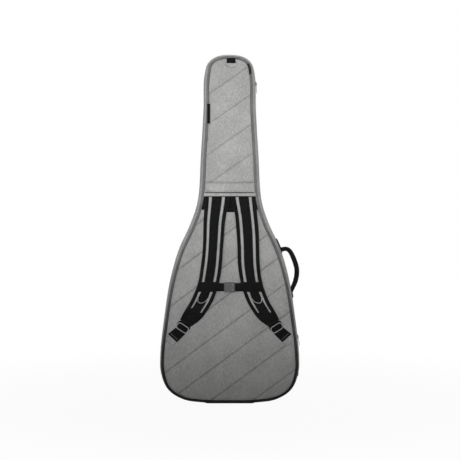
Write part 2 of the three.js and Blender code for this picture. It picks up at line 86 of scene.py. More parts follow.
# how far each strap's outer and inner edge hang away from those
LEAN_HEIGHTS = [320, 400, 436, 462, 494, 526, 558, 590, 615, 635, 668]
STRAP_LEAN = {
    -1: ([0, 0, 0.3, -0.8, -1.2, 0.3, 2.6, 4.8, 5.2, 5.4, 6.0],
         [0, 1.2, 1.2, 2.0, 4.0, 4.8, 3.4, 1.8, -1.5, -4.5, -8.5]),
    1: ([0, 3.4, 3.9, 4.4, 6.7, 9.4, 11.0, 10.8, 10.2, 10.2, 10.2],
        [0, 2.6, 2.8, 3.6, 7.2, 9.0, 7.8, 6.4, 4.2, 1.0, -5.5]),
}
LOCK_TILT = math.radians(33)
LOCK_CENTRE = (151.0, 248.0)
LOCK_Y = -88.4


# ------------------------------------------------------------------ curves

def closed_curve(keys, per_span):
    """Closed centripetal Catmull-Rom curve through the keys."""
    keys = np.array(keys, float)
    count = len(keys)
    out = []
    for i in range(count):
        p0, p1, p2, p3 = (keys[(i + j - 1) % count] for j in range(4))
        d0, d1, d2 = (np.linalg.norm(b - a) ** 0.5 for a, b in ((p0, p1), (p1, p2), (p2, p3)))
        t1 = ((p1 - p0) / d0 - (p2 - p0) / (d0 + d1) + (p2 - p1) / d1) * d1
        t2 = ((p2 - p1) / d1 - (p3 - p1) / (d1 + d2) + (p3 - p2) / d2) * d1
        for t in np.arange(per_span) / per_span:
            cubic = (2 * p1 - 2 * p2 + t1 + t2) * t**3
            out.append(cubic + (-3 * p1 + 3 * p2 - 2 * t1 - t2) * t**2 + t1 * t + p1)
    return np.array(out)


def resample(points, count, closed=False):
    """The same line as evenly spaced points."""
    points = np.asarray(points, float)
    line = np.vstack([points, points[:1]]) if closed else points
    steps = np.linalg.norm(np.diff(line, axis=0), axis=1)
    along = np.concatenate([[0], np.cumsum(steps)])
    at = np.linspace(0, along[-1], count + 1)[:-1] if closed else np.linspace(0, along[-1], count)
    return np.column_stack([np.interp(at, along, line[:, k]) for k in range(line.shape[1])])


def line_length(points):
    """Length of an open line."""
    return float(np.linalg.norm(np.diff(np.asarray(points, float), axis=0), axis=1).sum())


MIRRORED = [(-x, z) for x, z in HALF_OUTLINE[-2:0:-1]]
RING_COUNT = 840
OUTLINE = resample(closed_curve(HALF_OUTLINE + MIRRORED, 24), RING_COUNT, closed=True)
HEIGHTS = OUTLINE[:, 1]


def inward(ring):
    """Unit vectors that point into a ring from its points."""
    tangent = np.roll(ring, -1, axis=0) - np.roll(ring, 1, axis=0)
    tangent /= np.linalg.norm(tangent, axis=1)[:, None]
    return np.column_stack([-tangent[:, 1], tangent[:, 0]])


NORMALS = inward(OUTLINE)
PIPING_INSET = np.interp(HEIGHTS, PIPING_HEIGHTS, PIPING_INSETS)


def inset_ring(distance):
    """The outline moved inwards, by a number or by one for each point."""
    return OUTLINE + NORMALS * np.broadcast_to(distance, RING_COUNT)[:, None]


def half_width(distance):
    """Function of height giving the half width of the outline moved inwards."""
    ring = inset_ring(distance)
    half = ring[ring[:, 0] >= -0.5]
    half = half[np.argsort(half[:, 1])]
    rising = np.maximum.accumulate(half[:, 1]) + np.arange(len(half)) * 1e-6
    return lambda height: np.interp(height, rising, half[:, 0])


def smooth_table(at, values, low, high, step, window):
    """Even heights from low to high, and the values there after a moving average."""
    grid = np.arange(low, high + step, step)
    raw = np.interp(grid, at, values)
    width = int(window / step) | 1
    padded = np.pad(raw, width // 2, mode="edge")
    return grid, np.convolve(padded, np.ones(width) / width, mode="valid")


LID_GRID, LID_TABLE = smooth_table(LID_HEIGHTS, LID_FACES, -120, 1260, 4, 90)


def lid_face(height):
    """Depth of the lid's outer face at a height."""
    return np.interp(height, LID_GRID, LID_TABLE)


def in_plane(line, y):
    """(x, z) points set at a depth."""
    return np.column_stack([line[:, 0], np.broadcast_to(y, len(line)), line[:, 1]])


def level_line(low, high, count, y, z):
    """Even points from x = low to x = high."""
    return np.array([(x, y, z) for x in np.linspace(low, high, count)])


def upright_line(low, high, count, x, y):
    """Even points from z = low to z = high."""
    return np.array([(x, y, z) for z in np.linspace(low, high, count)])


# ------------------------------------------------------------------ meshes

def make(name, points, faces, material, body, replaces=(), sharp=42):
    """New mesh object from points in millimetres, riding on a body."""
    mesh = bpy.data.meshes.new(name)
    mesh.from_pydata((np.asarray(points, float) * MM).tolist(), [], [tuple(f) for f in faces])
    work = bmesh.new()
    work.from_mesh(mesh)
    bmesh.ops.recalc_face_normals(work, faces=work.faces)
    work.to_mesh(mesh)
    work.free()
    finish_mesh(mesh, material, sharp)
    piece = bpy.data.objects.new(name, mesh)
    SCENE.collection.objects.link(piece)
    if replaces:
        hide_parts(*replaces)
    if body:
        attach(piece, body)
    return piece


def finish_mesh(mesh, material, sharp):
    """One material, and smooth shading up to an angle in degrees."""
    mesh.materials.clear()
    mesh.materials.append(material)
    mesh.polygons.foreach_set("use_smooth", [True] * len(mesh.polygons))
    mesh.set_sharp_from_angle(angle=math.radians(sharp))
    mesh.update()


def grid_faces(rows, columns, close_rows=False, caps=False):
    """Faces between rows of points that are closed lines."""
    faces = []
    for r in range(rows if close_rows else rows - 1):
        near, far = r * columns, (r + 1) % rows * columns
        for c in range(columns):
            beside = (c + 1) % columns
            faces.append((near + c, near + beside, far + beside, far + c))
    if caps:
        faces.append(tuple(range(columns))[::-1])
        faces.append(tuple(range((rows - 1) * columns, rows * columns)))
    return faces


class Parts:
    """Several closed shells gathered into one mesh."""

    def __init__(self):
        self.points = []
        self.faces = []

    def loft(self, rows, closed=False):
        """Closed sections joined one after another, with caps unless the last meets the first."""
        rows = np.asarray(rows, float)
        start = len(self.points)
        self.points.extend(rows.reshape(-1, 3).tolist())
        for face in grid_faces(rows.shape[0], rows.shape[1], closed, not closed):
            self.faces.append(tuple(start + i for i in face))

    def make(self, name, material, body, slot, replaces=(), sharp=42):
        return make(name, self.points, self.faces, material, body, replaces, sharp)


def lofted(name, rows, material, body, slot, replaces=(), sharp=42, closed=False):
    """Piece made of one loft."""
    parts = Parts()
    parts.loft(rows, closed)
    return parts.make(name, material, body, slot, replaces, sharp)


def sweep_x(low, high, count, section):
    """Rows of a (y, z) section swept along x."""
    return [[(x, y, z) for y, z in section] for x in np.linspace(low, high, count)]


def stacked(outline, steps):
    """Rows of a horizontal slab, from (inset, z) steps."""
    lines = [(shrink(outline, amount), z) for amount, z in steps]
    return [np.column_stack([line, np.full(len(line), float(z))]) for line, z in lines]


def frames_along(path, closed=False, first_side=LID_SIDE):
    """Unit vectors across a 3-D path, carried along it without twisting."""
    path = np.asarray(path, float)
    if closed:
        tangent = np.roll(path, -1, axis=0) - np.roll(path, 1, axis=0)
    else:
        tangent = np.gradient(path, axis=0)
    tangent /= np.linalg.norm(tangent, axis=1)[:, None]
    side = np.array(first_side, float)
    sides, ups = [], []
    for t in tangent:
        side = side - t * side.dot(t)
        side = side / np.linalg.norm(side)
        sides.append(side)
        ups.append(np.cross(t, side))
    return np.array(sides), np.array(ups)


def tube(path, radius, around=10, closed=False, squash=1.0, first_side=LID_SIDE):
    """Rows of a round or oval tube. radius is a number or one per point."""
    path = np.asarray(path, float)
    sides, ups = frames_along(path, closed, first_side)
    radius = np.broadcast_to(radius, len(path))
    angle = np.arange(around) / around * 2 * math.pi
    ring = np.cos(angle)[None, :, None] * sides[:, None, :] * squash
    ring = ring + np.sin(angle)[None, :, None] * ups[:, None, :]
    return path[:, None, :] + ring * radius[:, None, None]


def ring_rows(section):
    """Rows of a sweep round the outline. The section is a list of (inset, y) pairs."""
    return np.stack([in_plane(inset_ring(distance), y) for distance, y in section], axis=1)


def ring_sweep(name, section, material, body, slot, replaces):
    """Piece swept all the way round the outline."""
    return lofted(name, ring_rows(section), material, body, slot, replaces, 50, closed=True)


def rounded(width, height, radius, arc=5, centre=(0.0, 0.0)):
    """Rounded rectangle as a closed line of 2-D points."""
    points = []
    for cx, cy, turn in ((1, 1, 0), (-1, 1, 90), (-1, -1, 180), (1, -1, 270)):
        for step in range(arc + 1):
            angle = math.radians(turn + 90 * step / arc)
            points.append((centre[0] + cx * (width / 2 - radius) + radius * math.cos(angle),
                           centre[1] + cy * (height / 2 - radius) + radius * math.sin(angle)))
    return np.array(points)


def shrink(outline, amount):
    """Closed 2-D line moved inwards."""
    outline = np.asarray(outline, float)
    area = 0.5 * np.sum(outline[:, 0] * np.roll(outline[:, 1], -1)
                        - np.roll(outline[:, 0], -1) * outline[:, 1])
    before = outline - np.roll(outline, 1, axis=0)
    after = np.roll(outline, -1, axis=0) - outline
    before /= np.maximum(np.linalg.norm(before, axis=1), 1e-9)[:, None]
    after /= np.maximum(np.linalg.norm(after, axis=1), 1e-9)[:, None]
    tangent = before + after
    tangent /= np.maximum(np.linalg.norm(tangent, axis=1), 1e-9)[:, None]
    normal = np.column_stack([-tangent[:, 1], tangent[:, 0]]) * math.copysign(1, area)
    return outline + normal * amount


def plate_rows(outline, low, high, edge=0.5, place=None):
    """Rows of a flat plate with softened edges. place turns (u, v, w) into the object's frame.
    Without it the plate faces the strap side, and low and high are depths with their sign turned."""
    steps = [(edge, low), (edge * 0.3, low + edge * 0.3), (0, low + edge),
             (0, high - edge), (edge * 0.3, high - edge * 0.3), (edge, high)]
    rows = np.array(stacked(outline, steps))
    if place is None:
        return np.stack([rows[..., 0], -rows[..., 2], rows[..., 1]], axis=-1)
    return place(rows)


def placed(origin, u, v, w):
    """Function that sets (u, v, w) points along three axes from an origin."""
    origin, u, v, w = (np.array(a, float) for a in (origin, u, v, w))
    return lambda rows: origin + rows[..., :1] * u + rows[..., 1:2] * v + rows[..., 2:3] * w


# ------------------------------------------------------------------ cloth

PENDING = []
CLOTH_FRAMES = 20


def inflate_later(piece, pinned, pressure, cap, shrink_by=0.0):
    """Puts the piece down for the one cloth simulation of all padded pieces."""
    group = piece.vertex_groups.new(name="pinned")
    group.add([int(i) for i in pinned], 1.0, "REPLACE")
    cloth = piece.modifiers.new("cloth", "CLOTH")
    settings = cloth.settings
    settings.quality = 4
    settings.mass = 0.25
    settings.tension_stiffness = 15.0
    settings.compression_stiffness = 15.0
    settings.shear_stiffness = 6.0
    settings.bending_stiffness = 0.3
    settings.vertex_group_mass = "pinned"
    settings.use_pressure = True
    settings.uniform_pressure_force = pressure
    settings.shrink_min = -shrink_by
    settings.effector_weights.gravity = 0.0
    cloth.collision_settings.use_collision = False
    cloth.point_cache.frame_start = 1
    cloth.point_cache.frame_end = CLOTH_FRAMES
    PENDING.append((piece, cap))


def positions(mesh):
    """A mesh's points as an array, in metres."""
    flat = np.empty(len(mesh.vertices) * 3)
    mesh.vertices.foreach_get("co", flat)
    return flat.reshape(-1, 3)


def simulate():
    """Runs the cloth of all pending pieces. No point moves further than its piece's cap."""
    if not PENDING:
        return
    for number in range(1, CLOTH_FRAMES + 1):
        SCENE.frame_set(number)
    graph = bpy.context.evaluated_depsgraph_get()
    results = [positions(piece.evaluated_get(graph).data) for piece, cap in PENDING]
    for (piece, cap), moved in zip(PENDING, results):
        rest = positions(piece.data)
        travel = moved - rest
        length = np.linalg.norm(travel, axis=1)
        limit = cap * MM
        soft = limit * np.tanh(length / limit)
        travel *= (soft / np.maximum(length, 1e-9))[:, None]
        piece.modifiers.remove(piece.modifiers["cloth"])
        piece.vertex_groups.clear()
        piece.data.vertices.foreach_set("co", (rest + travel).ravel())
        piece.data.update()
    PENDING.clear()
    SCENE.frame_set(1)


# ------------------------------------------------------------------ materials

class Graph:
    """Small helper for node materials whose patterns are laid out in millimetres."""

    def __init__(self, name):
        self.material = bpy.data.materials.new(name)
        self.material.use_nodes = True
        self.tree = self.material.node_tree
        self.shader = next(n for n in self.tree.nodes if n.type == "BSDF_PRINCIPLED")
        coordinates = self.tree.nodes.new("ShaderNodeTexCoord")
        self.where = self.vector("MULTIPLY", coordinates.outputs["Object"], (1000, 1000, 1000))
        split = self.node("ShaderNodeSeparateXYZ", {0: self.where})
        self.x, self.y, self.z = split.outputs

    def node(self, kind, inputs, **settings):
        made = self.tree.nodes.new(kind)
        for key, value in settings.items():
            setattr(made, key, value)
        for key, value in inputs.items():
            if isinstance(value, bpy.types.NodeSocket):
                self.tree.links.new(value, made.inputs[key])
            else:
                made.inputs[key].default_value = value
        return made

    def vector(self, operation, a, b):
        return self.node("ShaderNodeVectorMath", {0: a, 1: b}, operation=operation).outputs[0]

    def math(self, operation, a, b=0.0):
        return self.node("ShaderNodeMath", {0: a, 1: b}, operation=operation).outputs[0]

    def noise(self, size, detail=2.0, roughness=0.5, shift=0.0):
        """Noise whose grains measure size, in millimetres."""
        where = self.vector("MULTIPLY", self.where, tuple(1.0 / s for s in size))
        if shift:
            where = self.vector("ADD", where, (shift, shift * 0.7, shift * 1.3))
        return self.node("ShaderNodeTexNoise", {
            "Vector": where, "Scale": 1.0, "Detail": detail, "Roughness": roughness,
        }).outputs["Fac"]

    def wave(self, value, pitch):
        """Sine of a length in millimetres, from -1 to 1."""
        return self.math("SINE", self.math("MULTIPLY", value, 2 * math.pi / pitch))

    def total(self, *terms):
        """Weighted sum of (socket, weight) pairs."""
        out = None
        for socket, weight in terms:
            part = self.math("MULTIPLY", socket, weight)
            out = part if out is None else self.math("ADD", out, part)
        return out

    def ramp(self, value, stops):
        """Colour ramp from (position, grey or colour) stops."""
        made = self.node("ShaderNodeValToRGB", {0: value})
        elements = made.color_ramp.elements
        while len(elements) < len(stops):
            elements.new(0.5)
        for element, (at, colour) in zip(elements, stops):
            element.position = at
            if isinstance(colour, (int, float)):
                colour = (colour, colour, colour)
            element.color = (*colour, 1.0)
        return made.outputs["Color"]

    def smooth(self, value, low, high, out_low=0.0, out_high=1.0):
        """Smooth step from out_low to out_high while the value goes from low to high."""
        return self.node("ShaderNodeMapRange", {
            "Value": value, "From Min": low, "From Max": high, "To Min": out_low,
            "To Max": out_high,
        }, interpolation_type="SMOOTHSTEP").outputs["Result"]

    def scale_colour(self, colour, factor):
        return self.vector("MULTIPLY", colour, self.node("ShaderNodeCombineXYZ", {
            0: factor, 1: factor, 2: factor}).outputs[0])

    def finish(self, colour, roughness, height, depth, strength, **fixed):
        """The material, with bumps from height and depth in millimetres. fixed are plain inputs."""
        put = {"Base Color": colour, "Roughness": roughness}
        put["Normal"] = self.node("ShaderNodeBump", {
            "Height": height, "Distance": depth * MM, "Strength": strength,
        }).outputs["Normal"]
        for key, value in put.items():
            if isinstance(value, bpy.types.NodeSocket):
                self.tree.links.new(value, self.shader.inputs[key])
            else:
                self.shader.inputs[key].default_value = value
        for key, value in fixed.items():
            self.shader.inputs[key.replace("_", " ")].default_value = value
        return self.material


def heather(name, gain=1.0, stitch=None, flip=1.0, groove_shade=0.62):
    """Grey marled cloth: light and dark yarns running upright, a fine weave, and a painted
    shade line along the grooves where the quilting is sewn."""
    g = Graph(name)
    streak = g.noise((1.7, 1.7, 11), 3, 0.7)
    yarn = g.noise((0.7, 0.7, 3.0), 2, 0.6, 3.1)
    slub = g.noise((8, 8, 1.1), 2, 0.55, 7.7)
    cloud = g.noise((55, 55, 70), 2, 0.5, 1.9)
    tone = g.total((streak, 0.44), (yarn, 0.36), (slub, 0.20))
    colour = g.ramp(tone, [
        (at, (level * gain, level * gain, cooler * gain))
        for at, level, cooler in ((0.32, 0.165, 0.161), (0.45, 0.285, 0.278), (0.55, 0.375, 0.366),
                                  (0.68, 0.52, 0.51))])
    colour = g.scale_colour(colour, g.smooth(cloud, 0.25, 0.75, 0.92, 1.07))
    across = g.wave(g.math("ADD", g.x, g.y), 0.95)
    upright = g.wave(g.z, 0.95)
    weave = g.math("MULTIPLY", across, upright)
    height = g.total((weave, 0.5), (streak, 0.8), (yarn, 0.9))
    if stitch:
        slope, first, pitch = stitch
        offset = g.math("ADD", g.z, g.math("MULTIPLY", g.x, -slope * flip))
        turns = g.math("MULTIPLY", g.math("ADD", offset, -first), 1.0 / pitch)
        share = g.math("ABSOLUTE", g.math("SUBTRACT", turns, g.math("ROUND", turns)))
        uneven = g.noise((13, 13, 13), 2, 0.5, 9.3)
        distance = g.total((share, pitch / math.hypot(1, slope)), (uneven, 6.0))
        # painted shade: the cloth darkens along each sewn quilting line, where its groove falls in
        # shadow
        colour = g.scale_colour(colour, g.smooth(distance, 2.4, 7.6, groove_shade, 1.0))
    return g.finish(colour, g.smooth(yarn, 0.3, 0.7, 0.92, 0.78), height, 0.35, 0.7,
                    Sheen_Weight=0.12, Sheen_Roughness=0.5, Specular_IOR_Level=0.25)


def tinted(level, tint, stops):
    """Ramp stops of one tint, from (position, factor) pairs."""
    return [(at, tuple(level * factor * t for t in tint)) for at, factor in stops]


def webbing(name, level, pitch=1.7, axis="z", sheen=0.25, rough=0.62, tint=(1, 1, 1.03)):
    """Narrow woven ribbon along x or z: ribs in a herringbone, with slightly worn high threads."""
    g = Graph(name)
    along = g.x if axis == "x" else g.z
    other = g.math("ADD", g.x, g.y) if axis == "z" else g.z
    zigzag = g.math("ABSOLUTE", g.math("SINE", g.math("MULTIPLY", other, math.pi / 5.5)))
    ribs = g.wave(g.math("ADD", along, g.math("MULTIPLY", zigzag, 1.5)), pitch)
    threads = g.wave(other, 1.1)
    fibre = g.noise((0.6, 0.6, 0.6), 2, 0.6)
    patch = g.noise((18, 18, 22), 2, 0.5, 4.4)
    tone = g.total((ribs, 0.16), (threads, 0.07), (fibre, 0.55), (patch, 0.25))
    colour = g.ramp(tone, tinted(level, tint, ((0.12, 0.45), (0.40, 1), (0.72, 1.9))))
    height = g.total((ribs, 0.7), (threads, 0.3), (fibre, 0.4))
    return g.finish(colour, g.smooth(fibre, 0.3, 0.7, rough, rough + 0.16), height, 0.3, 0.8,
                    Sheen_Weight=sheen, Sheen_Roughness=0.4, Specular_IOR_Level=0.13)


def air_mesh(name):
    """Spacer mesh: small dark holes in a soft black knit."""
    g = Graph(name)
    cells = g.node("ShaderNodeTexVoronoi", {
        "Vector": g.vector("MULTIPLY", g.where, (1 / 2.4, 1 / 2.4, 1 / 3.0)), "Scale": 1.0,
        "Randomness": 0.25,
    }).outputs["Distance"]
    fibre = g.noise((0.5, 0.5, 0.5), 2, 0.6)
    patch = g.noise((30, 30, 40), 2, 0.5, 2.2)
    tone = g.total((cells, 0.75), (fibre, 0.3), (patch, 0.2))
    colour = g.ramp(tone, [(0.28, (0.0016, 0.0016, 0.0017)), (0.5, (0.0045, 0.0045, 0.0047)),
                           (0.85, (0.010, 0.010, 0.0104))])
    return g.finish(colour, 0.85, g.total((cells, 1.0), (fibre, 0.25)), 0.5, 0.8,
                    Sheen_Weight=0.03, Sheen_Roughness=0.5, Specular_IOR_Level=0.13)


def binding(name, level, painted_shade_low=False):
    """Twill tape folded over a cord. With the flag set it darkens towards the bottom of the bag, as
    painted shade where less of the light from above reaches.
    """
    g = Graph(name)
    twill = g.wave(g.total((g.x, 0.8), (g.y, 0.9), (g.z, 1.0)), 1.5)
    fibre = g.noise((0.7, 0.7, 1.4), 3, 0.6)
    wear = g.noise((26, 26, 34), 3, 0.6, 5.1)
    tone = g.total((twill, 0.10), (fibre, 0.6), (wear, 0.35))
    colour = g.ramp(tone, [(0.25, level * 0.45), (0.5, level), (0.75, level * 1.9)])
    if painted_shade_low:
        # painted shade: darker lower down the bag, standing in for the top light falling off
        colour = g.scale_colour(colour, g.smooth(g.z, 20, 620, 0.12, 1.0))
    rough = g.smooth(fibre, 0.3, 0.7, 0.72, 0.86)
    return g.finish(colour, rough, g.total((twill, 0.6), (fibre, 0.5)), 0.25, 0.7,
                    Sheen_Weight=0.03, Sheen_Roughness=0.5, Specular_IOR_Level=0.14)


def plush(name, level):
    """Brushed lining with a short nap."""
    g = Graph(name)
    nap = g.noise((0.8, 0.8, 1.5), 3, 0.7)
    brushed = g.noise((22, 22, 40), 3, 0.55, 6.2)
    tone = g.total((nap, 0.55), (brushed, 0.45))
    colour = g.ramp(tone, [(0.3, level * 0.6), (0.5, level), (0.72, level * 1.5)])
    return g.finish(colour, 0.95, g.total((nap, 1.0), (brushed, 0.4)), 0.6, 0.8,
                    Sheen_Weight=0.45, Sheen_Roughness=0.35, Specular_IOR_Level=0.1)


def closed_foam(name, level):
    """Dark foam with small closed cells."""
    g = Graph(name)
    cells = g.node("ShaderNodeTexVoronoi", {
        "Vector": g.vector("MULTIPLY", g.where, (1.4, 1.4, 1.4)), "Scale": 1.0,
    }).outputs["Distance"]
    patch = g.noise((12, 12, 12), 2, 0.5)
    tone = g.total((cells, 0.6), (patch, 0.4))
    colour = g.ramp(tone, [(0.2, level * 0.6), (0.5, level), (0.8, level * 1.25)])
    return g.finish(colour, 0.9, cells, 0.3, 0.8, Specular_IOR_Level=0.2)


def moulded(name, level, rough, grain=0.5):
    """Moulded plastic or rubber with a fine eroded grain and rubbed high spots."""
    g = Graph(name)
    fine = g.noise((0.35, 0.35, 0.35), 3, 0.6)
    scuff = g.noise((7, 5, 3), 4, 0.65, 2.7)
    tone = g.total((fine, 0.4), (scuff, 0.6))
    colour = g.ramp(tone, tinted(level, (1, 1, 1.02), ((0.3, 0.8), (0.55, 1), (0.78, 1.35))))
    return g.finish(colour, g.smooth(tone, 0.35, 0.7, rough, rough + 0.16), fine, 0.05, grain,
                    Specular_IOR_Level=0.5)


def nickel(name):
    """Dull plated wire with stains and fine scratches."""
    g = Graph(name)
    scratch = g.noise((0.4, 0.4, 6), 3, 0.6)
    stain = g.noise((6, 6, 6), 3, 0.5, 3.3)
    colour = g.ramp(stain, [(0.3, (0.09, 0.093, 0.096)), (0.6, (0.19, 0.193, 0.197))])
    return g.finish(colour, g.smooth(scratch, 0.3, 0.7, 0.2, 0.38), scratch, 0.02, 0.4, Metallic=1.0)


BODY_CLOTH = heather("marled_cloth_body", 1.0, BODY_STITCH)
NECK_CLOTH = heather("marled_cloth_neck", 1.0, NECK_STITCH, 1.0, 0.76)
LID_CLOTH = heather("marled_cloth_lid", 1.0, BODY_STITCH, -1.0)
PLAIN_CLOTH = heather("marled_cloth_plain", 1.0)
# darker copy of the same grey cloth for the gussets: painted shade for the sides turned away from the
# light
SHADED_SIDE_CLOTH = heather("marled_cloth_side_shaded", 0.88)
# lighter copy of the same grey cloth for the band's fold: painted light where the fold catches the
# lamps
LIT_FOLD_CLOTH = heather("marled_cloth_lit_fold", 1.08)
# the piping gets the painted shade that darkens it towards the bottom
PIPING = binding("piping_twill", 0.15, True)
BLACK_TAPE = binding("black_binding", 0.0042)
SLEEVE = binding("sleeve_binding", 0.022)
BAND_CORD = binding("band_cord_twill", 0.036)
WEBBING = webbing("black_webbing_upright", 0.0045, sheen=0.02)
WEBBING_ACROSS = webbing("black_webbing_across", 0.0042, axis="x", sheen=0.02)
RIBBON = webbing("light_ribbon", 0.34, 1.2, sheen=0.05, rough=0.7, tint=(1, 1, 0.98))
MESH = air_mesh("air_mesh")
ZIP_TAPE = webbing("zip_tape", 0.018, 1.0)
TEETH = moulded("zip_teeth", 0.022, 0.3)
SLIDER = moulded("black_lacquer", 0.012, 0.42)
PULL = moulded("pull_moulding", 0.009, 0.7)
BUCKLE = moulded("buckle_acetal", 0.048, 0.5)
# the lock frame is black plastic; its light grey is a painted highlight for the glints along its
# edges
LOCK_HIGHLIGHT_GREY = moulded("lock_acetal_highlight_grey", 0.34, 0.5)
METAL = nickel("nickel_wire")
RUBBER = moulded("rubber", 0.018, 0.6, 0.8)
LINING = plush("plush_lining", 0.19)
FOAM = closed_foam("closed_cell_foam", 0.12)
THREAD = webbing("grey_thread", 0.13, 0.8, sheen=0.05, rough=0.6)
BLACK_THREAD = webbing("black_thread", 0.012, 0.8, sheen=0.05, rough=0.5)


# ------------------------------------------------------------------ sewing

THREAD_TAPER = np.array([0.35, 1, 1, 0.35])


def stitches(name, paths, outwards, material, body, slot, length=3.6, gap=1.6, radius=0.55):
    """Short threads along lines that lie on the cloth."""
    parts = Parts()
    outwards = np.array(outwards, float)
    for path in paths:
        count = int(line_length(path) // (length + gap))
        if count < 1:
            continue
        fine = resample(path, count * 3 + 1)
        for k in range(count):
            a, b = fine[3 * k], fine[3 * k + 2]
            ends = a + (b - a) * np.array([0.02, 0.2, 0.8, 0.98])[:, None]
            rise = np.array([-0.35, 0.25, 0.25, -0.35])[:, None] * outwards * radius
            parts.loft(tube(ends + rise, radius * THREAD_TAPER, 5, first_side=outwards + 0.01))
    return parts.make(name, material, body, slot, sharp=80)


def nearest(points, targets):
    """Distance from each point to the nearest target."""
    return np.min(np.linalg.norm(points[:, None] - targets[None], axis=2), axis=1)


def quilt_field(inside, low, high, slope, spacing):
    """Rows of points along the quilting inside a panel, every other row shifted."""
    field = []
    step = spacing * 0.87 * math.hypot(1, slope)
    for r, offset in enumerate(np.arange(low - 230, high + 230, step)):
        across = np.arange(-228, 228, spacing * math.cos(math.atan(slope))) + (r % 2) * spacing * 0.4
        field.append(np.column_stack([across, offset + slope * across]))
    field = np.vstack(field)
    within = (np.abs(field[:, 0]) < inside(field[:, 1])) & (field[:, 1] > low) & (field[:, 1] < high)
    return field[within]


def quilt(name, inside, low, high, lines, face, outwards, material, body, node,
          puff=3.4, spacing=6.0, depth=3.6, cap=1.6, border=None):
    """Quilted panel: cloth crowned between its sewn lines, with small puckers beside them.
    inside gives the half width at a height and face the depth of the cloth's sewn edge. A sewn
    line is (slope, height in the middle)."""
    if border is None:
        heights = np.arange(low, high + 0.5, 1.0)
        right = np.column_stack([inside(heights), heights])
        border = np.vstack([right, right[::-1] * [-1, 1]])
    count = int(line_length(np.vstack([border, border[:1]])) / spacing)
    border = resample(border, count, closed=True)
    sewn = []
    for slope, first in lines:
        across = np.arange(-230, 230, 1.0)
        trace = np.column_stack([across, first + slope * across])
        within = (np.abs(trace[:, 0]) < inside(trace[:, 1])) & (trace[:, 1] > low)
        within &= (trace[:, 1] < high) & (nearest(trace, border) > spacing * 0.45)
        trace = trace[within]
        if len(trace) > 12:
            sewn.append(resample(trace, max(3, int(line_length(trace) / (spacing * 0.8)))))
    slope = lines[0][0] if lines else 0.0
    fixed = np.vstack([border] + sewn)
    field = quilt_field(inside, low, high, slope, spacing)
    field = field[nearest(field, fixed) > spacing * 0.62]
    edges = []
    start = count
    for line in sewn:
        edges += [(start + i, start + i + 1) for i in range(len(line) - 1)]
        start += len(line)
    vectors = [Vector(p) for p in np.vstack([fixed, field])]
    answer = delaunay_2d_cdt(vectors, edges, [list(range(count))], 1, 1e-5)
    flat = np.array([tuple(p) for p in answer[0]])
    from_border = nearest(flat, border)
    from_border[:count] = 0
    gap = from_border.copy()
    for slope, first in lines if sewn else ():
        away = np.abs(flat[:, 1] - first - slope * flat[:, 0]) / math.hypot(1, slope)
        gap = np.minimum(gap, away)
    x, z = flat.T
    along = x * math.cos(math.atan(slope)) + z * math.sin(math.atan(slope))
    pucker = np.sin(along / 2.6 + 2.1 * np.sin(z / 37.0)) + 0.7 * np.sin(along / 4.3 + z / 29)
    crown = puff * (1 - np.exp(-gap / 11.0))
    crown = crown + 0.32 * pucker * (np.exp(-gap / 7.0) - np.exp(-gap / 1.5))
    crown -= depth * np.exp(-from_border / 3.0) * 0.5
    top = in_plane(flat, face(z) + outwards * crown)
    under = in_plane(border, face(border[:, 1]) - outwards * depth)
    total = len(top)
    faces = [tuple(f) for f in answer[2]]
    faces += [(i, (i + 1) % count, total + (i + 1) % count, total + i) for i in range(count)]
    faces.append(tuple(total + i for i in range(count))[::-1])
    piece = make(name, np.vstack([top, under]), faces, material, body, [node], 60)
    pinned = [i for i in range(total) if gap[i] < 0.6] + list(range(total, total + count))
    inflate_later(piece, pinned, 3.0, cap, shrink_by=0.01)
    if sewn:
        threads = [in_plane(line, face(line[:, 1]) + outwards * 0.15) for line in sewn]
        stitches(name.replace("cloth", "stitching"), threads, (0, outwards, 0), THREAD, body,
                 "grey_fabric")


def sewn_lines(stitch, low, high, flip=1.0):
    """The quilting lines that cross a panel between two heights."""
    slope, first, pitch = stitch
    middles = [first + pitch * k for k in range(-4, 16)]
    return [(slope * flip, middle) for middle in middles if low - 170 < middle < high + 170]


PANEL_WIDTH = half_width(PIPING_INSET + PANEL_TUCK)
PANEL_RING = inset_ring(PIPING_INSET + PANEL_TUCK)
PANEL_BOTTOM = PANEL_RING[:, 1].min() + 0.3
PANEL_TOP = PANEL_RING[:, 1].max() - 0.3


def flat_back(height):
    return np.full_like(height, BACK_Y + 0.6)


